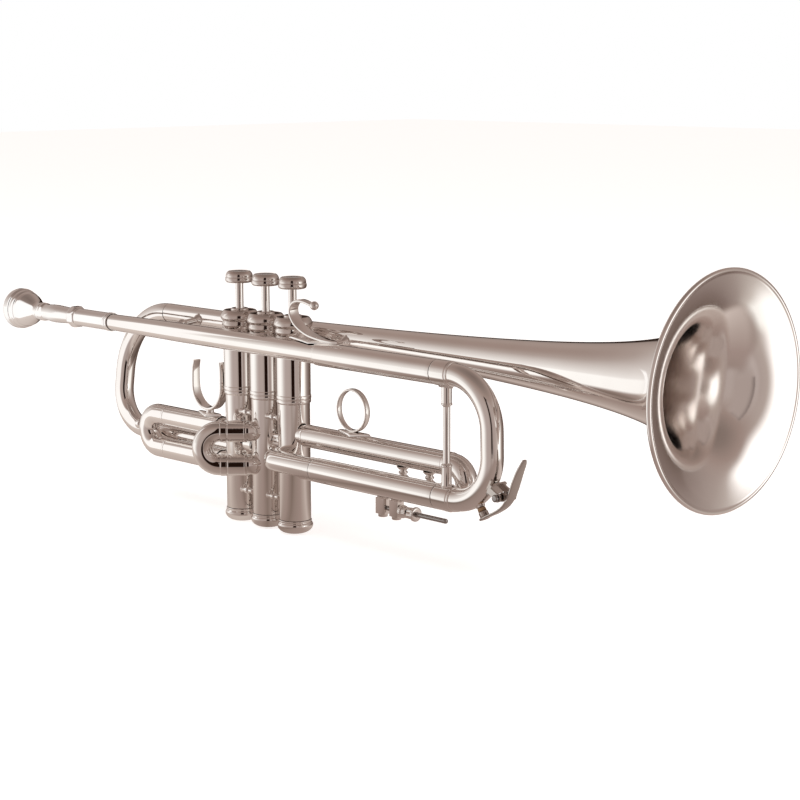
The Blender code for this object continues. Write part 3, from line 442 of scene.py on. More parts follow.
def foot(centre, out, tube_r, half_long, half_wide, height=0.9, steps=14):
    """A thin lozenge that hugs a tube. out points away from the tube's axis, which holds centre."""
    centre, out = np.array(centre, float), unit(out)
    side = np.cross(ALONG, out)
    points, faces = [], []
    rows = 2 * steps
    for level in (0, 1):
        for i in range(rows + 1):
            u = -1 + 2 * i / rows
            reach = half_wide * (1 - abs(u)) ** 0.85 + 0.02
            for j in range(rows + 1):
                v = -1 + 2 * j / rows
                angle = v * reach / tube_r
                rim = min(1 - abs(v), (1 - abs(u)) * 2.5)
                swell = min(1.0, (rim * 3.2) ** 0.5) if rim > 0 else 0.0
                lift = 0.02 + level * height * swell
                spot = centre + ALONG * u * half_long
                points.append(spot + circle(out, side, angle) * (tube_r + lift))
    grid = rows + 1
    for level in (0, 1):
        for i in range(rows):
            for j in range(rows):
                a = level * grid * grid + i * grid + j
                faces.append((a, a + 1, a + grid + 1, a + grid))
    edge = [i * grid for i in range(grid)] + [(grid - 1) * grid + j for j in range(1, grid)]
    edge += [i * grid + grid - 1 for i in range(grid - 2, -1, -1)] + list(range(grid - 2, 0, -1))
    for a, b in zip(edge, edge[1:] + edge[:1]):
        faces.append((a, b, b + grid * grid, a + grid * grid))
    return points, faces


def ball(centre, radius, direction):
    count = 16
    profile = [(-radius * cos(pi * k / count), radius * sin(pi * k / count))
               for k in range(count + 1)]
    profile[0] = (-radius, 0.0)
    profile[-1] = (radius, 0.0)
    return lathe(profile, centre, direction, 32)


def knurled(teeth, depth):
    """A radius rule that cuts fine grooves round a turned piece."""
    def rule(along, radius, angle):
        return radius - depth * (0.5 + 0.5 * cos(teeth * angle))
    return rule


def bent(centre, radius, begin, end, steps, place):
    """An arc in a plane. place turns its two coordinates into a point."""
    angles = [radians(begin + (end - begin) * i / steps) for i in range(steps + 1)]
    return [place(centre[0] + radius * cos(a), centre[1] + radius * sin(a)) for a in angles]


def new_object(name, data):
    made = bpy.data.objects.new(name, data)
    bpy.context.scene.collection.objects.link(made)
    return made


def plain_object(name, points, faces):
    mesh = bpy.data.meshes.new(name)
    mesh.from_pydata(points, [], faces)
    return new_object(name, mesh)


def piece(name, shells, node, body="trumpet_frame", look=SILVER, crease=40):
    """Joins shells into one object in metres, which stands for a CAD node and rides its body."""
    points, faces = [], []
    for shell_points, shell_faces in shells:
        start = len(points)
        points += [tuple(c * MM for c in p) for p in shell_points]
        faces += [tuple(start + i for i in f) for f in shell_faces]
    made = plain_object(name, points, faces)
    mesh = made.data
    work = bmesh.new()
    work.from_mesh(mesh)
    bmesh.ops.recalc_face_normals(work, faces=work.faces)
    work.to_mesh(mesh)
    work.free()
    mesh.shade_smooth()
    mesh.set_sharp_from_angle(angle=radians(crease))
    mesh.materials.append(look)
    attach(made, body)
    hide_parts(node)


def centre_of(node):
    low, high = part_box(node)
    return [(low[i] + high[i]) / 2 / MM for i in range(3)]


# ---- Places, read from the frame where a node gives them ----

VALVES = (1, 2, 3)
VALVE_X = {v: centre_of(f"bottom_cap_{v}")[0] for v in VALVES}
CASING_R, UPPER_R = 9.6, 10.15
PORT_R = 9.4  # where a tube's end is shaped to a casing
LEG_R, LEG_BORE_R, KNUCKLE_BORE_R = 5.95, 5.7, 5.8
STOP_FOOT_Z = 23.7
PIPE_Y, PIPE_Z = centre_of("upper_outer_tube")[1:]
LEG_Y, LEG_Z = centre_of("lower_outer_tube")[1:]
BELL_Y, BELL_Z = centre_of("bell")[1:]
BELL_SILVER = bell_metal()
MOUTH_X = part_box("bell")[1][0] / MM
STEM_X = -119.6
FIRST_Y = centre_of("first_slide_inner_upper")[1]
FIRST_Z, SECOND_Z, THIRD_Z = (
    [centre_of(f"{tube}_{n}")[2] for n in ("upper", "lower")]
    for tube in ("first_slide_inner", "second_slide_outer", "third_slide_inner"))
BOW_X, BOW_R = 174.5, 27.5
TUBE_R = 6.15


def coped_tube(places, y, z, outer, inner, valve):
    """A straight tube along X whose last end is shaped to a valve casing."""
    return hose(straight(places, y, z), outer, inner, cope=(VALVE_X[valve], PORT_R))


# ---- Valves ----

# Each turned part of a valve: piece, node, easing, sides, whether it moves, look and profile.
VALVE_PARTS = (
    ("cap_top", "top_cap", 0.3, SIDES, False, DARKENED_SILVER,
     [(116.25, 10.2), (116.5, 10.6), (117.3, 10.75), (118.1, 10.6), (118.7, 10.15), (119.4, 10.55),
      (120.4, 10.85), (121.4, 10.85), (122.5, 10.6), (123.3, 10.3), (123.9, 11), (124.7, 11.55),
      (125.6, 11.7), (126.6, 11.55), (127.6, 11.1), (128.6, 10.45), (129.3, 9.9), (129.68, 9.35),
      (129.7, 8.9), (129.55, 8.7), (129.5, 5.4), (130.5, 5.2), (130.8, 4.7), (130.75, 3),
      (130, 2.75), (126.6, 2.75), (126.6, 9.6), (116.25, 9.6)]),
    ("cap_bottom", "bottom_cap", 0.3, SIDES, False, SILVER,
     [(0, 0), (0, 5.9), (0.05, 6.4), (0.6, 7.9), (1.6, 9.35), (2.7, 10.25), (3.9, 10.7), (5, 10.7),
      (5.9, 10.35), (6.5, 9.85), (6.9, 9.75), (7.2, 10), (7.7, 10), (8, 9.75), (8, 9.4), (3.3, 9.4),
      (2.4, 8), (2.4, 0)]),
    ("stem", "valve_stem", 0.25, 48, True, SILVER,
     [(122.35, 0), (122.35, 7.1), (124.4, 7.1), (124.4, 2.35), (150.6, 2.35), (150.6, 0)]),
    ("button", "finger_button", 0.25, SIDES, True, DARKENED_SILVER,
     [(146.15, 0), (146.15, 2.5), (146.2, 6.6), (146.45, 7.6), (147, 8.2), (147.8, 8.48),
      (148.6, 8.48), (149.35, 8.3), (149.65, 8.05), (150, 8.12), (150.8, 8.1), (151.7, 7.75),
      (152.5, 7.2), (153, 6.6), (153.18, 6.1), (152.9, 5.85), (152.2, 5.8), (152.2, 0)]),
    ("pearl", "button_pearl", 0.2, SIDES, True, PEARL,
     [(152.3, 0), (152.3, 5.7), (152.75, 5.7), (153, 5.3), (153.08, 4), (153.1, 0)]),
)


def build_valves():
    for v in VALVES:
        at = (VALVE_X[v], 0, 0)
        profile = [(3.8, 9.15), (8.2, 9.15), (8.2, CASING_R), (78.4, CASING_R), (78.8, 10.25),
                   (80.6, 10.35), (80.95, 9.9), (81.3, 10.45), (83, 10.45), (83.35, UPPER_R),
                   (115.9, UPPER_R), (115.9, 9.3), (122.8, 9.3), (122.8, 8.75), (3.8, 8.75)]
        shells = [turned(profile, 0.35, at, UP)]
        if v == 2:
            for way, height in ((-1, 48.5), (1, 54)):
                end = (way * 16, 0, height)
                begin = (way * 9, 0, height)
                shells.append(hose([begin, end], 5.9, 5.4, 48, cope=(VALVE_X[2 + way], 9.7)))
                collar = straight((way * 9.7, way * 10.7), 0, height)
                shells.append(hose(collar, 6.25, 5.6, 48))
                for stud_z in (20.6, 68.9):
                    spots = ((6.9, 1.9), (8.2, 1.5), (10.5, 1.15), (11.1, 2.1), (13.4, 2.1),
                             (14, 1.15), (16.3, 1.5), (17.4, 1.9))
                    rod = [(0, 0)] + [(s - 6.9, r) for s, r in spots] + [(10.5, 0)]
                    shells.append(turned(rod, 0.8, (way * 6.9, -6.2, stud_z), (way, 0, 0), 32))
        piece(f"casing_{v}", shells, f"valve_casing_{v}")
        for name, node, ease, sides, moves, look, profile in VALVE_PARTS:
            piece(f"{name}_{v}", [turned(profile, ease, at, UP, sides)],
                  f"{node}_{v}", f"valve_{v}" if moves else "trumpet_frame", look)


# ---- Leadpipe side ----

def octagon(along, radius, angle):
    """An eight-sided bar under a turned chamfer."""
    turn = (angle + pi / 8) % (pi / 4) - pi / 8
    return min(radius, 6.72 / cos(turn))


def build_leadpipe_side():
    at = (0, PIPE_Y, PIPE_Z)
    outer = [
        (-238.3, 10.2), (-238.2, 11.2), (-237.8, 12.2), (-237, 13), (-235.9, 13.35),
        (-234.6, 13.4), (-232.2, 13.4), (-231.6, 13.2), (-231.2, 12.7), (-230.8, 12.5),
        (-230.2, 12.55), (-229, 12.45), (-227.9, 12.2), (-227.5, 11.8), (-227.2, 11.5),
        (-226, 11.35), (-224, 10.85), (-221.8, 9.7), (-219.6, 8.2), (-217.4, 6.75), (-215.4, 5.8),
        (-213.6, 5.42), (-211.9, 5.35), (-211.3, 5.5), (-210.7, 5.85), (-209.9, 5.95),
        (-208.2, 5.95), (-207.8, 5.75), (-207.5, 5.75), (-207.1, 5.95), (-205.6, 5.95),
        (-204.9, 5.6), (-204.5, 5.3), (-203.6, 5.2), (-200.5, 5.35), (-196.5, 5.7), (-192, 5.82),
        (-187, 5.65), (-181, 5.35), (-174, 5.08), (-151.2, 4.74),
    ]
    inner = [(-151.2, 4.15), (-190, 3), (-216, 1.85), (-223, 1.85), (-224.3, 2.5), (-225.3, 3.6),
             (-226.7, 5), (-228.4, 6.1), (-230.6, 7), (-233, 7.75), (-235.6, 8.2), (-236.9, 8.6),
             (-237.8, 9.3)]
    shells = [turned(outer + inner, 0.4, at, ALONG, 128)]
    piece("mouthpiece_turned", shells, "mouthpiece", "mouthpiece_body", look=BRIGHT)

    body = [(-166.6, 5.95), (-166.2, 5.6), (-135.2, 5.6), (-134.9, 5.5), (-134.6, 5.85),
            (-133, 5.95), (-132.6, 5.7), (-132.2, 5.95), (-130.9, 5.95), (-130.5, 5.7),
            (-130.5, 5.35), (-166.6, 5.35)]
    collar = [(-174.2, 5.5), (-174.15, 5.9), (-172, 7.15), (-169, 7.3), (-168.6, 7.3),
              (-166.7, 6.2), (-166.5, 5.8), (-166.5, 5.45)]
    shells = [turned(body, 0.3, at), turned(collar, 0.15, at, ALONG, 128, octagon)]
    piece("receiver", shells, "mouthpiece_receiver", look=BRIGHT)

    spots = [(-149, 4.85), (-128, 5.15), (-95, 5.55), (-60, 5.88), (0, 6.05), (50, 6.12),
             (72, 6.12)]
    pipe = spots + [(72, 5.6), (-149, 4.4)]
    piece("lead_tube", [lathe(pipe, at, ALONG)], "leadpipe")

    for name, node, y, z, seam in (("upper", "upper_outer_tube", PIPE_Y, PIPE_Z, 67),
                                   ("lower", "lower_outer_tube", LEG_Y, LEG_Z, 62)):
        profile = [(seam, 6.5), (seam, 6.72), (seam + 1.3, 6.72), (seam + 1.5, 6.8), (158.5, 6.8),
                   (161.6, 6.8), (161.6, 6.5)]
        piece("outer_" + name, [turned(profile, 0.25, (0, y, z))], node)

    def level(x, y):
        return (x, y, LEG_Z)

    path = [level(61.6 - 4 * i, LEG_Y) for i in range(9)]
    path += bent((27.4, LEG_Y + 6.9), 6.9, -90, -180, 14, level)
    path.append(level(20.5, -7))
    shells = [hose(path, 6.3, KNUCKLE_BORE_R, cope=(VALVE_X[3], PORT_R)), hose(path[:2], 6.55, 6)]
    piece("knuckle", shells, "tuning_knuckle")

    top = PIPE_Z + 6.8
    stations = (
        (83, top + 0.95, 1.4), (78, top + 1.05, 4.2), (70, top + 1.7, 6.2),
        (60, top + 3.6, 7.2), (51.5, top + 7.4, 7.6), (46.6, top + 12.2, 7.5),
        (45.2, top + 16.6, 7), (47.2, top + 20.4, 6.4), (51.3, top + 22.2, 5.6),
        (56.5, top + 21.9, 4.6), (61.6, top + 20.6, 3.6))
    shells = [strap(smooth_line(stations), 1.6, PIPE_Y, 0.6),
              ball((63.5, PIPE_Y, top + 20.3), 2.55, ALONG),
              foot((61.5, PIPE_Y, PIPE_Z), UP, 6.8, 20.5, 4)]
    piece("little_finger_hook", shells, "pinky_hook")


# ---- Main tuning slide and water key ----

def flat(x, z):
    return (x, 0, z)


def lean(points, top_y, low_y, top_z, low_z):
    """Moves flat points sideways, from top_y at height top_z to low_y at low_z."""
    return [(p[0], top_y + (low_y - top_y) * (top_z - p[2]) / (top_z - low_z), p[2])
            for p in points]


DRAIN = unit((0.55, 0, -0.835))
CORNER = np.array([BOW_X, LEG_Y, LEG_Z + BOW_R])
PIVOT = np.array([210.5, LEG_Y, 53])


def build_tuning_slide():
    bend = bent((BOW_X, PIPE_Z - BOW_R), BOW_R, 90, 0, 20, flat)
    bend += bent((BOW_X, LEG_Z + BOW_R), BOW_R, 0, -90, 20, flat)
    path = [(92, 0, PIPE_Z), (161, 0, PIPE_Z)] + bend + [(161, 0, LEG_Z), (92, 0, LEG_Z)]
    path = lean(path, PIPE_Y, LEG_Y, PIPE_Z, LEG_Z)
    shells = [hose(path, TUBE_R, LEG_BORE_R, 72)]
    ring = [(162, 6.2), (162, 6.85), (162.6, 6.95), (172.7, 6.95), (173.1, 6.7), (173.35, 6.5),
            (173.6, 6.75), (174.4, 6.75), (174.6, 6.3), (174.6, 6.1), (162, 6.1)]
    for y, z in ((PIPE_Y, PIPE_Z), (LEG_Y, LEG_Z)):
        shells.append(turned(ring, 0.2, (0, y, z)))
    reach = BOW_R + TUBE_R
    nipple = [(reach - 0.9, 1.5), (reach - 0.9, 3), (reach - 0.1, 2.6), (reach + 0.85, 2.5),
              (reach + 0.85, 1.6)]
    shells.append(turned(nipple, 0.2, CORNER, DRAIN, 40))
    piece("tuning_bow", shells, "tuning_slide", "main_slide")

    low, high = LEG_Z + 6.75, PIPE_Z - 6.75
    mid_y = (PIPE_Y + LEG_Y) / 2
    rings = [(62.9, 2.75), (63.2, 3.05), (64, 3.05), (64.3, 2.4), (64.9, 1.95), (95.8, 1.95),
             (96.3, 2.4), (96.6, 3.05), (97.3, 3.05), (97.6, 2.75)]
    brace = spindle(low, high, ((0, 3), (0.7, 2.8)), rings)
    shells = [turned(brace, 0.3, (168.5, mid_y, 0), UP, 48),
              foot((168.5, PIPE_Y, PIPE_Z), -UP, 6.95, 5.4, 4.4, 0.8, 8),
              foot((168.5, LEG_Y, LEG_Z), UP, 6.95, 5.4, 4.4, 0.8, 8)]
    piece("slide_brace", shells, "tuning_slide_brace", "main_slide")


def slab(centre, axes, halves, corner=0.5):
    """A block with rounded long edges: the section is in the first two axes."""
    one, two, three = axes
    section = rounded_box(halves[0], halves[1], corner)
    points = [np.array(centre) + one * a + two * b + three * end * halves[2]
              for end in (-1, 1) for a, b in section]
    return points, [tuple(reversed(range(20))), tuple(range(20, 40))] + skin(2, 20)


def build_water_key():
    out, side = unit((PIVOT[0] - BOW_X, 0, PIVOT[2] - CORNER[2])), ACROSS
    up = np.array([-out[2], 0, out[0]])
    seat = CORNER + out * (BOW_R + TUBE_R + 0.1)
    depth = float(np.dot(PIVOT - seat, out))
    shells = [slab(seat + out * 0.7, (up, side, out), (3.4, 6, 0.7))]
    for way in (-1, 1):
        post = seat + out * (depth / 2 + 0.4) + side * way * 5.4
        shells.append(slab(post, (out, up, side), (depth / 2 + 0.2, 1.7, 0.65)))
        knob = [(-0.7, 1.25), (-0.7, 2.35), (0.7, 2.35), (0.7, 1.25)]
        shells.append(turned(knob, 0.2, PIVOT + side * way * 5.4, side, 40))
    # The saddle takes the plate darkened with painted shade.
    piece("key_saddle", shells, "water_key_saddle", "main_slide", look=SHADED_SILVER)

    screw = [(-8.15, 0), (-8.15, 1.4), (-7.8, 2), (-6.8, 2.05), (-6.6, 1.6), (-6.5, 0.9),
             (6.6, 0.9), (6.7, 1.6), (7.7, 1.75), (7.95, 1.3), (7.95, 0)]
    piece("key_screw", [turned(screw, 0.2, PIVOT, side, 32)], "water_key_screw", "main_slide",
          look=STEEL)
    coil = []
    first, second = cross_frame(side)
    for i in range(4 * 24 + 1):
        angle = 2 * pi * i / 24
        coil.append(PIVOT + side * (-2.1 + 4.2 * i / 96) + circle(first, second, angle) * 1.9)
    piece("key_spring", [hose(coil, 0.4, None, 10, ALONG)], "water_key_spring", "main_slide",
          look=STEEL)

    pad = CORNER + DRAIN * (BOW_R + TUBE_R + 6.8)
    stations = (
        (224.5, 74.2, 2.6), (223.3, 71.6, 4.6), (221.2, 67.6, 6), (218.8, 62, 6.9),
        (216.8, 56.8, 7), (214.3, 51.8, 6.8), (210.4, 47.2, 6.2), (204.8, 43.5, 5.6),
        (pad[0] + 2.2, pad[2] + 1.2, 5.4), (pad[0], pad[2] - 0.2, 5.6),
        (pad[0] - 2.3, pad[2] - 1.4, 4.6))
    shells = [strap(smooth_line(stations), 1.3, LEG_Y, 0.5)]
    cup = [(3.4, 0), (3.4, 2.5), (3.7, 2.65), (6, 2.65), (6.4, 2.3), (6.4, 0)]
    shells.append(turned(cup, 0.2, CORNER + DRAIN * (BOW_R + TUBE_R), DRAIN, 40))
    arm = unit((4.4, 0, 0.5))
    lift = np.array([-arm[2], 0, arm[0]])
    for way in (-1, 1):
        ear = PIVOT + side * way * 3.35 + np.array([1.9, 0, 0.2])
        shells.append(slab(ear, (arm, lift, side), (2.95, 2.2, 0.45), 1.6))
    # The lever takes the plate darkened with painted shade.
    piece("key_lever", shells, "water_key_lever", "water_key", look=SHADED_SILVER)
    base = CORNER + DRAIN * (BOW_R + TUBE_R + 1.15)
    plug = [(0, 0), (0, 2.2), (1.9, 2.4), (1.9, 0)]
    piece("key_cork", [turned(plug, 0.3, base, DRAIN, 32)], "water_key_cork", "water_key",
          look=CORK)


# ---- Bell side ----

def flare(x):
    return max(5.95, 114.93 / (MOUTH_X - x + 3.37) ** 0.3014 - 13.41)


def build_bell():
    count = 110
    spots = [MOUTH_X - 1.5 - (MOUTH_X - 1.5 - STEM_X) * ((count - i) / count) ** 2.2
             for i in range(count + 1)]
    outer = [(x, flare(x)) for x in spots]
    wire = []
    for k in range(15):
        angle = radians(190 - 245 * k / 14)
        wire.append((MOUTH_X - 1.3 + 1.3 * cos(angle), 59.8 + 1.3 * sin(angle)))
    inner = []
    for x in reversed(spots):
        slope = (flare(x + 0.2) - flare(x - 0.2)) / 0.4
        across = hypot(1, slope)
        inner.append((x + 0.6 * slope / across, flare(x) - 0.6 / across))
    at = (0, BELL_Y, BELL_Z)
    shells = [lathe(outer + wire + inner, at, ALONG, 192)]
    piece("bell_flare", shells, "bell", look=BELL_SILVER, crease=55)

    top, low = BELL_Z - 0.3, 41.2
    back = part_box("bell_bow")[0][0] / MM + TUBE_R

    path = [(STEM_X - 0.3, 0, top)]
    path += bent((back + 41, top - 41), 41, 90, 180, 32, flat)
    path += bent((back + 26.1, low + 26.1), 26.1, 180, 270, 24, flat)
    path = lean(path, BELL_Y, 10, top, low)
    path += [(x, 10, low) for x in (-125, -110, -95, -80, -60)]

    def level(x, y):
        return (x, y, low)

    path += bent((-40, 10 - 13), 13, 90, 38, 14, level)
    tube = hose(path, TUBE_R, 5.65, 72, cope=(VALVE_X[1], PORT_R))
    piece("bell_bow_tube", [tube], "bell_bow")

    for name, x, pipe_r in (("rear_brace", -83, 5.6), ("front_brace", 57, 6.12)):
        right, left = np.array([x, PIPE_Y, PIPE_Z]), np.array([x, BELL_Y, BELL_Z])
        way = unit(left - right)
        span = float(np.linalg.norm(left - right))
        near, far = pipe_r + 0.3, span - flare(x) - 0.3
        mid = (near + far) / 2
        waist = [(mid - 2.4, 1.75), (mid - 1.6, 2.4), (mid, 2.75), (mid + 1.6, 2.4),
                 (mid + 2.4, 1.75)]
        profile = spindle(near, far, ((0, 3.4), (0.8, 2.9), (2.2, 2.2), (3, 1.9)), waist)
        shells = [turned(profile, 0.5, right, way, 40),
                  foot(right, way, pipe_r + 0.05, 4.3, 4.2, 0.8, 8),
                  foot(left, -way, flare(x) + 0.05, 4.3, 4.2, 0.8, 8)]
        piece(name + "_turned", shells, name)


# ---- Valve slides ----

HAIRPIN_STEPS = 28


def hairpin(heights):
    """(distance past the legs, height) round a half circle from the top leg to the low one."""
    top, low = heights
    radius, middle = (top - low) / 2, (top + low) / 2
    angles = [pi * i / HAIRPIN_STEPS for i in range(HAIRPIN_STEPS + 1)]
    return [(radius * sin(angle), middle + radius * cos(angle)) for angle in angles]


def build_first_slide():
    bend = [(-102.7 - past, FIRST_Y, z) for past, z in hairpin(FIRST_Z)]
    path = [(-91.8, FIRST_Y, FIRST_Z[0]), (-98, FIRST_Y, FIRST_Z[0])] + bend
    path += [(-98, FIRST_Y, FIRST_Z[1]), (-91.8, FIRST_Y, FIRST_Z[1])]
    shells = [hose(path, 6.6, 5.75, 72)]
    sleeve = [(-39.3, 6.35), (-39.35, 6.75), (-41.1, 6.75), (-41.3, 6.62), (-91.4, 6.62),
              (-91.7, 6.5), (-91.9, 6.62), (-92.6, 6.68), (-93.4, 6.62), (-93.4, 6.35)]
    for z in FIRST_Z:
        shells.append(turned(sleeve, 0.15, (0, FIRST_Y, z)))
    middle = sum(FIRST_Z) / 2 + 1.5
    knob = [(-2, 0), (-2, 3.2), (-0.6, 2.6), (0.6, 2.15), (2.6, 2.15), (3, 2.9), (3.6, 3.15),
            (5.8, 3.15), (6.4, 2.8), (6.8, 2), (6.85, 0)]
    shells.append(turned(knob, 0.3, (-118.6, FIRST_Y, middle), (-1, 0, 0), 48))
    piece("first_slide_bow", shells, "first_slide", "first_valve_slide")

    top = FIRST_Z[0] + 6.65
    bottom, half, x = top + 3.6, 13.6, -50.6
    stations = [(x - half + 1.4, bottom + 29, 5.2), (x - half + 0.3, bottom + 24.5, 5.5),
                (x - half, bottom + 20, 5.7)]
    for i in range(13):
        angle = pi * (1 + i / 12)
        stations.append((x + half * cos(angle), bottom + 14 + 14 * sin(angle),
                         5.9 + 0.9 * sin(pi * i / 12)))
    stations += [(x + half, bottom + 20, 5.7), (x + half - 0.2, bottom + 25, 5.5),
                 (x + half - 1, bottom + 30, 5.2)]
    stalk = [(0.4, 0), (0.4, 3.2), (1, 2.5), (2.6, 2.3), (3.4, 2.5), (3.6, 0)]
    shells = [strap(smooth_line(stations, 6), 1.6, FIRST_Y, 0.6),
              foot((x - 0.4, FIRST_Y, FIRST_Z[0]), UP, 6.7, 11.5, 4.2, 1.1),
              turned(stalk, 0.3, (x, FIRST_Y, top), UP, 40)]
    piece("thumb_hook", shells, "thumb_saddle", "first_valve_slide")
    for name, z in zip(("upper", "lower"), FIRST_Z):
        leg = coped_tube((-89, -60, -36), FIRST_Y, z, LEG_R, LEG_BORE_R, 1)
        piece("first_inner_" + name, [leg], "first_slide_inner_" + name)


SECOND_PORT, SECOND_WAY = 15, 44  # degrees from the front at which its tubes leave and run
ELBOW_R, ELBOW_STEPS = 9, 12


def level_way(degrees):
    return np.array([-sin(radians(degrees)), -cos(radians(degrees))])


def build_second_slide():
    port, way = level_way(SECOND_PORT), level_way(SECOND_WAY)
    left = np.array([-port[1], port[0]])
    turn = -1.0 if float(left @ way) < 0 else 1.0
    start = port * PORT_R
    centre = start + left * turn * ELBOW_R
    elbow = []
    for i in range(ELBOW_STEPS + 1):
        angle = radians(SECOND_WAY - SECOND_PORT) * i / ELBOW_STEPS
        elbow.append(centre + circle(-left * turn, port, angle) * ELBOW_R)
    end = elbow[-1]
    reach = float(end @ way)
    direction = np.array([*way, 0])
    for name, z in zip(("upper", "lower"), SECOND_Z):
        path = [(*p, z) for p in reversed(elbow)] + [(*(port * 8), z)]
        shells = [hose(path, 6.2, LEG_BORE_R, cope=(0, PORT_R))]
        base = np.array([*end, z]) - direction * reach
        sleeve = [(reach - 0.6, 6.3), (reach - 0.6, 6.6), (reach + 0.8, 6.75), (reach + 1, 6.6),
                  (23.2, 6.6), (23.5, 6.4), (23.7, 6.3)]
        shells.append(turned(sleeve, 0.2, base, direction, 72))
        piece("second_outer_" + name, shells, "second_slide_outer_" + name)

    top, low = SECOND_Z

    def at(distance, z):
        return (*(end + way * (distance - reach)), z)

    path = [at(13.2, top), at(24, top), at(28.4, top)]
    path += [at(28.5 + past, z) for past, z in hairpin(SECOND_Z)]
    path += [at(28.4, low), at(24, low), at(13.2, low)]
    radii = [LEG_R] * 2 + [6.3] * (len(path) - 4) + [LEG_R] * 2
    shells = [hose(path, radii, LEG_BORE_R, 72)]
    ring = [(24.15, 6), (24.15, 6.6), (27.4, 6.65), (27.9, 6.5), (28.1, 6.3), (28.1, 6)]
    for z in SECOND_Z:
        base = np.array([*end, z]) - direction * reach
        shells.append(turned(ring, 0.2, base, direction, 72))
    piece("second_slide_bow", shells, "second_slide", "second_valve_slide")


def build_third_slide():
    bend = [(157.2 + past, 0, z) for past, z in hairpin(THIRD_Z)]
    path = [(153.4, 0, THIRD_Z[0])] + bend + [(153.4, 0, THIRD_Z[1])]
    shells = [hose(path, 6.3, 5.75, 72)]
    for z, start in zip(THIRD_Z, (36, 106)):
        sleeve = [(start, 6.35), (start, 6.7), (start + 1.4, 6.78), (start + 1.7, 6.62),
                  (152.7, 6.62), (153.1, 6.5), (153.4, 6.75), (156.2, 6.78), (156.7, 6.5),
                  (156.8, 6.2), (153.4, 6.2)]
        shells.append(turned(sleeve, 0.15, (0, 0, z)))
    low, high = THIRD_Z[1] + 6.5, THIRD_Z[0] - 6.5
    middle = (low + high) / 2
    waist = [(middle - 0.9, 1.7), (middle - 0.5, 2.6), (middle + 0.5, 2.6), (middle + 0.9, 1.7)]
    strut = spindle(low, high, ((0, 3.8), (1, 3.2), (1.8, 2.2)), waist)
    for x in (117.5, 138.5):
        shells.append(turned(strut, 0.3, (x, 0, 0), UP, 40))
    piece("third_slide_bow", shells, "third_slide", "third_valve_slide")

    leg = coped_tube((131.8, 80, 36), 0, THIRD_Z[0], LEG_R, LEG_BORE_R, 3)
    piece("third_inner_upper", [leg], "third_slide_inner_upper")
    outer = coped_tube((105.6, 80, 37), 0, THIRD_Z[1], 6.6, KNUCKLE_BORE_R, 3)
    tip = hose(straight((135.8, 104), 0, THIRD_Z[1]), LEG_R, LEG_BORE_R)
    lip = [(104.2, 6.5), (104.2, 6.75), (105.6, 6.75), (105.6, 6)]
    collar = turned(lip, 0.15, (0, 0, THIRD_Z[1]))
    piece("third_inner_lower", [outer, tip, collar], "third_slide_inner_lower")

    ring_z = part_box("finger_ring")[1][2] / MM - 12.65
    band = []
    for k in range(20):
        angle = 2 * pi * k / 20
        band.append((1.85 * copysign(abs(cos(angle)) ** 0.5, cos(angle)),
                     11.93 + 0.7 * copysign(abs(sin(angle)) ** 0.7, sin(angle))))
    shells = [lathe(band, (76.3, 0, ring_z), ACROSS, 128),
              foot((77, 0, THIRD_Z[0]), UP, 6.68, 14, 4.2, 1.2)]
    piece("ring_for_finger", shells, "finger_ring", "third_valve_slide")


def build_stop():
    rod_z = centre_of("stop_rod")[2]
    top = THIRD_Z[1] - 6.65
    for name, body, x, half in (("stop_bracket_rear", "trumpet_frame", 100.9, 3.6),
                                ("stop_bracket_front", "third_valve_slide", 112, 3.4)):
        middle = (STOP_FOOT_Z + top - 0.4) / 2
        halves = (half, 2.8, (top - 0.4 - STOP_FOOT_Z) / 2)
        shells = [slab((x, 0, middle), (ALONG, ACROSS, UP), halves, 0.6)]
        shells.append(foot((x, 0, THIRD_Z[1]), -UP, 6.68, half + 1, 3.8, 0.9, 8))
        head = [(0, 0), (0, 2.4), (0.3, 2.8), (1.9, 2.8), (2.3, 2.5), (2.3, 0)]
        shells.append(turned(head, 0.15, (x, 0, 21.8), UP, 72, knurled(24, 0.16)))
        piece(name + "_block", shells, name, body)
    rod = [(104.9, 0), (104.9, 1.4), (151.4, 1.4), (152.1, 1), (152.2, 0)]
    piece("rod_for_stop", [turned(rod, 0.3, (0, 0, rod_z), ALONG, 32)], "stop_rod", look=STEEL)
    small = [(115.8, 1.6), (115.8, 3.5), (116.1, 3.78), (118, 3.78), (118.3, 3.5), (118.5, 3.25),
             (121.2, 3.25), (121.4, 2.9), (121.5, 1.6)]
    large = [(122.4, 1.6), (122.5, 2.9), (122.7, 3.25), (126.2, 3.25), (126.4, 3.7), (126.6, 4.12),
             (128.1, 4.12), (128.4, 3.8), (128.5, 3), (128.5, 1.6)]
    at = (0, 0, rod_z)
    shells = [turned(small, 0.15, at, ALONG, 120, knurled(28, 0.12)),
              turned(large, 0.15, at, ALONG, 120, knurled(30, 0.14))]
    piece("nuts_for_stop", shells, "stop_nuts", "third_valve_slide")


def dress_hidden_nodes():
    """The pieces inside the casings keep their own solids and take a finished material."""
    looks = {"piston": MONEL, "valve_guide": NYLON, "valve_spring": STEEL}
    for v in VALVES:
        for node, look in looks.items():
            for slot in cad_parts[f"{node}_{v}"].material_slots:
                slot.material = look


# ---- Stage ----

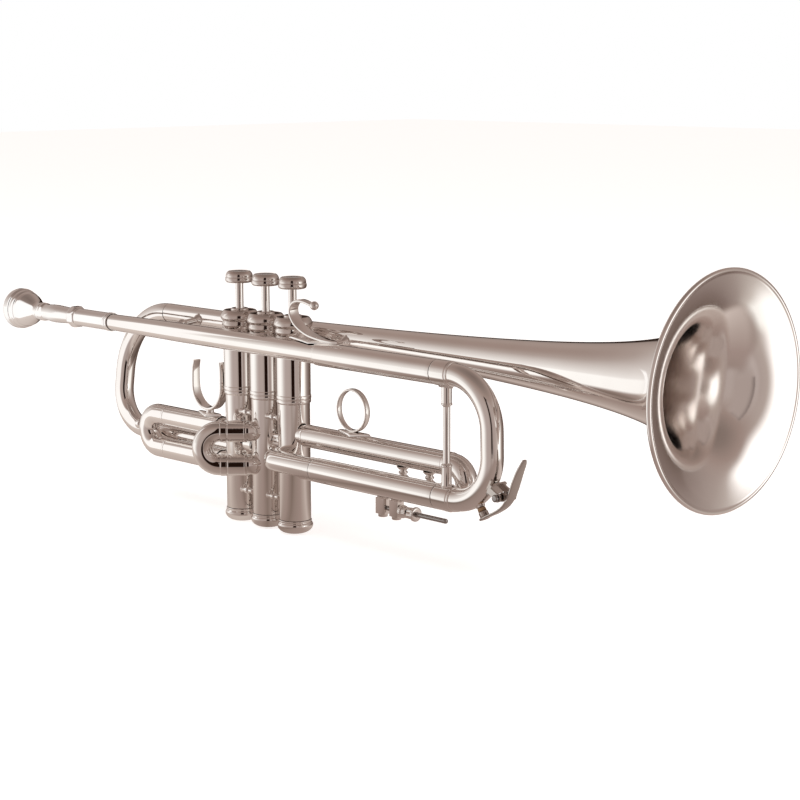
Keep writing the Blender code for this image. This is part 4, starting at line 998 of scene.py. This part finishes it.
# What the metal mirrors near the horizon, and the painted light and shade of the table top that it
# mirrors: azimuth in degrees, colour.
REFLECTED = (
    (-180, 0.14, 0.096, 0.077), (-150, 0.12, 0.08, 0.062), (-136, 0.07, 0.045, 0.034),
    (-122, 0.3, 0.23, 0.2), (-108, 0.6, 0.54, 0.5), (-90, 0.84, 0.79, 0.76),
    (-72, 1.06, 1.03, 1.0), (-50, 1.1, 1.08, 1.05), (-35, 0.93, 0.9, 0.87), (-19, 0.6, 0.53, 0.5),
    (-5, 0.455, 0.375, 0.35), (22, 0.45, 0.37, 0.34), (34, 0.36, 0.29, 0.26),
    (57, 0.5, 0.42, 0.39), (66, 0.43, 0.35, 0.32), (85, 0.47, 0.39, 0.35), (98, 0.6, 0.52, 0.48),
    (107, 0.95, 0.9, 0.84), (113, 1.1, 1.07, 1.02), (128, 1.1, 1.07, 1.02), (136, 0.62, 0.55, 0.5),
    (147, 0.36, 0.29, 0.26), (162, 0.23, 0.17, 0.15), (180, 0.14, 0.096, 0.077),
)
TABLE_TONES = (
    (-180, 0.18, 0.13, 0.11), (-150, 0.08, 0.055, 0.045), (-128, 0.1, 0.07, 0.058),
    (-112, 0.42, 0.34, 0.3), (-88, 0.62, 0.53, 0.48), (-58, 0.72, 0.63, 0.57),
    (-37, 0.52, 0.43, 0.39), (-19, 0.4, 0.32, 0.285), (13, 0.35, 0.265, 0.235),
    (43, 0.2, 0.145, 0.12), (60, 0.29, 0.22, 0.19), (87, 0.37, 0.28, 0.25), (102, 0.5, 0.41, 0.37),
    (119, 0.68, 0.58, 0.53), (138, 0.38, 0.3, 0.265), (160, 0.26, 0.195, 0.17),
    (180, 0.18, 0.13, 0.11),
)
# The studio from straight below (0) to straight above (1), and how far REFLECTED replaces it
# at each height in degrees.
HEIGHT_TONES = (
    (0, (0.245, 0.181, 0.155)), (0.28, (0.29, 0.22, 0.19)), (0.43, (0.4, 0.325, 0.29)),
    (0.5, (0.46, 0.375, 0.34)), (0.58, (0.45, 0.37, 0.335)), (0.75, (0.345, 0.258, 0.225)),
    (0.86, (0.25, 0.19, 0.165)), (1, (0.2, 0.15, 0.13)),
)
REFLECTED_SHARE = (
    (-48, 0), (-38, 1), (2, 1), (5, 0.72), (14, 0.5), (24, 0.3), (33, 0.1), (42, 0),
)
# Black flags of the studio: azimuth from, to and softness, height from, to and softness, colour.
FLAGS = (
    ((34.8, 56, 0.9), (-14, 41, 1.2), (0.014, 0.006, 0.004)),
    ((-150, -119, 4), (-20, 16, 3), (0.03, 0.018, 0.013)),
)
WHITE = (1, 1, 1)


def build_world():
    """A studio that the metal mirrors. The camera itself sees plain white behind the trumpet."""
    world = bpy.data.worlds.new("studio")
    bpy.context.scene.world = world
    tree = Tree(world, empty=True)
    axes = tree.axes(tree.place("Generated"))
    turn = tree.azimuth(axes)
    lift = tree.calc("MULTIPLY", tree.calc("ARCSINE", axes["Z"]), 180 / pi)
    height = tree.mask(lift, -90, 90, "LINEAR")
    share = [((up + 90) / 180, (part, part, part)) for up, part in REFLECTED_SHARE]
    colour = tree.blend(tree.ramp(height, share), tree.ramp(height, HEIGHT_TONES),
                        tree.tones_round(turn, REFLECTED))
    for across, upright, shade in FLAGS:
        flag = tree.calc("MULTIPLY", tree.band(turn, *across), tree.band(lift, *upright))
        colour = tree.blend(flag, colour, shade)
    seen = tree.add("LightPath", {}).outputs["Is Camera Ray"]
    light = tree.add("Background", {"Color": tree.blend(seen, colour, WHITE), "Strength": 1})
    tree.add("OutputWorld", {"Surface": light.outputs["Background"]})


def reflector(name, look_name, points, faces, paint):
    """A glowing sheet that only the polished metal sees. paint gives its colour and its cover."""
    made = plain_object(name, points, faces)
    look = bpy.data.materials.new(look_name)
    tree = Tree(look, empty=True)
    colour, cover = paint(tree, tree.axes(tree.place()))
    glow = tree.add("Emission", {"Color": colour}).outputs["Emission"]
    clear = tree.add("BsdfTransparent", {}).outputs["BSDF"]
    both = tree.add("MixShader", {"Fac": cover, 1: clear, 2: glow}).outputs["Shader"]
    tree.add("OutputMaterial", {"Surface": both})
    made.data.materials.append(look)
    for rays in ("camera", "diffuse", "shadow", "transmission"):
        setattr(made, "visible_" + rays, False)


# Each card: its two ends, foot and top, then axis, from, to and softness across and upright,
# and its tone.
CARDS = {
    "card_before_bell": (
        (0.56, -0.02), (0.56, 0.32), -0.06, 0.32, ("Y", 0.06, 0.26, 0.055), ("Z", 0, 0.24, 0.06),
        (1.5, 1.45, 1.42)),
    "card_beside_bell": (
        (0.41, -0.27), (0.6, -0.09), -0.05, 0.42,
        ("X", 0.445, 0.565, 0.03), ("Z", 0, 0.37, 0.04), (0.42, 0.34, 0.31)),
    "card_by_mouthpiece": (
        (-0.34, -0.12), (-0.15, -0.12), -0.08, 0.3,
        ("X", -0.32, -0.17, 0.018), ("Z", -0.04, 0.26, 0.035), (1.08, 1.05, 1.03)),
}


def build_cards():
    for name, (left, right, foot_z, top_z, across, upright, tone) in CARDS.items():
        def paint(tree, axes):
            edges = [tree.band(axes[axis], *limits) for axis, *limits in (across, upright)]
            return tone, tree.calc("MULTIPLY", *edges)

        corners = [(*left, foot_z), (*right, foot_z), (*right, top_z), (*left, top_z)]
        reflector(name, name + "_glow", corners, [(0, 1, 2, 3)], paint)


TABLE_LEFT, TABLE_RIGHT, TABLE_FRONT, TABLE_BACK = -0.42, 0.5, -0.15, 0.2
TABLE_COLS, TABLE_ROWS = 48, 36
LIP_Y, LIP_DEPTH = -0.06, 0.09
# The painted shadow of the trumpet on the table top: its colour, and how far it covers the table's
# tones.
TRUMPET_SHADOW_TONE, TRUMPET_SHADOW_SHARE = (0.33, 0.25, 0.215), 0.35


def build_table():
    """The table top of the studio, which turns up along the front edge like a tray. It is a glowing
    sheet that only the metal sees, with painted light and shade that follow the azimuth and a
    painted shadow of the trumpet near its middle.
    """
    points = []
    for j in range(TABLE_ROWS + 1):
        for i in range(TABLE_COLS + 1):
            x = TABLE_LEFT + (TABLE_RIGHT - TABLE_LEFT) * i / TABLE_COLS
            y = TABLE_FRONT + (TABLE_BACK - TABLE_FRONT) * j / TABLE_ROWS
            rise = max(0.013 + 0.05 * x, 0.0)
            slope = max(0.0, (LIP_Y - y) / LIP_DEPTH)
            points.append((x, y, cad_box[0][2] - 0.0004 + rise * slope * slope))
    wide = TABLE_COLS + 1
    starts = [j * wide + i for j in range(TABLE_ROWS) for i in range(TABLE_COLS)]
    faces = [(k, k + 1, k + 1 + wide, k + wide) for k in starts]

    def paint(tree, axes):
        tones = tree.tones_round(tree.azimuth(axes), TABLE_TONES)
        x, y = axes["X"], axes["Y"]
        # A painted shadow of the trumpet, near the middle of the table top.
        near = tree.calc("MULTIPLY", tree.band(x, -0.16, 0.24, 0.12),
                         tree.band(y, -0.075, 0.12, 0.05))
        tones = tree.blend(tree.calc("MULTIPLY", near, TRUMPET_SHADOW_SHARE), tones, TRUMPET_SHADOW_TONE)
        cover = tree.calc("MULTIPLY", tree.band(x, TABLE_LEFT + 0.05, TABLE_RIGHT - 0.05, 0.05),
                          tree.band(y, TABLE_FRONT + 0.025, TABLE_BACK - 0.03, 0.025))
        return tones, cover

    reflector("table", "table_tones", points, faces, paint)


FLOOR_HALF, FLOOR_DROP, FLOOR_GLOW = 6, 0.0006, 0.72
LAMP_PLACE, LAMP_TARGET = Vector((0.4, -0.8, 2.2)), Vector((0.05, 0, 0.08))


def build_floor():
    half, floor_z = FLOOR_HALF, cad_box[0][2] - FLOOR_DROP
    corners = [(-half, -half, floor_z), (half, -half, floor_z), (half, half, floor_z),
               (-half, half, floor_z)]
    floor = plain_object("floor", corners, [(0, 1, 2, 3)])
    look, tree, shader = new_material("pale_floor", (0.9, 0.9, 0.9), 0, 0.9)
    grain = tree.noise(tree.place(), 40, 3)
    pale = tree.ramp(grain, ((0.3, (0.9, 0.9, 0.9)), (0.7, (0.93, 0.93, 0.93))))
    tree.fill(shader, {"Base Color": pale, "Specular IOR Level": 0,
                       "Emission Color": WHITE, "Emission Strength": FLOOR_GLOW})
    floor.data.materials.append(look)
    floor.visible_glossy = False
    floor.visible_diffuse = False


def build_lamp():
    lamp = bpy.data.lights.new("softbox", "AREA")
    lamp.shape = "RECTANGLE"
    lamp.size, lamp.size_y = 2.2, 1.6
    lamp.energy = 22
    box = new_object("softbox", lamp)
    box.location = LAMP_PLACE
    box.rotation_euler = (LAMP_PLACE - LAMP_TARGET).to_track_quat("Z", "Y").to_euler()
    box.visible_glossy = False


CAMERA_PLACE = (0.90938, -0.76597, 0.27821)
CAMERA_TURN = (43.96, 9.641, -0.170)  # pan, tilt and roll in degrees
FOCAL_LENGTH = 90.07


def build_camera():
    """The camera stands to the right of the bell's mouth and looks a little down at the valves."""
    pan, tilt, roll = (radians(angle) for angle in CAMERA_TURN)
    ahead = Vector((-cos(pan) * cos(tilt), sin(pan) * cos(tilt), -sin(tilt)))
    right = Vector((sin(pan), cos(pan), 0))
    above = right.cross(ahead)
    right, above = (right * cos(roll) + above * sin(roll), above * cos(roll) - right * sin(roll))
    lens = bpy.data.cameras.new("view")
    lens.sensor_width = 36
    lens.lens = FOCAL_LENGTH
    lens.clip_start = 0.01
    view = new_object("view", lens)
    turn = Matrix((right, above, -ahead)).transposed().to_4x4()
    view.matrix_world = Matrix.Translation(CAMERA_PLACE) @ turn
    bpy.context.scene.camera = view


build_valves()
build_leadpipe_side()
build_tuning_slide()
build_water_key()
build_bell()
build_first_slide()
build_second_slide()
build_third_slide()
build_stop()
dress_hidden_nodes()
build_world()
build_floor()
build_table()
build_cards()
build_lamp()
build_camera()
bpy.context.scene.view_settings.view_transform = "Standard"
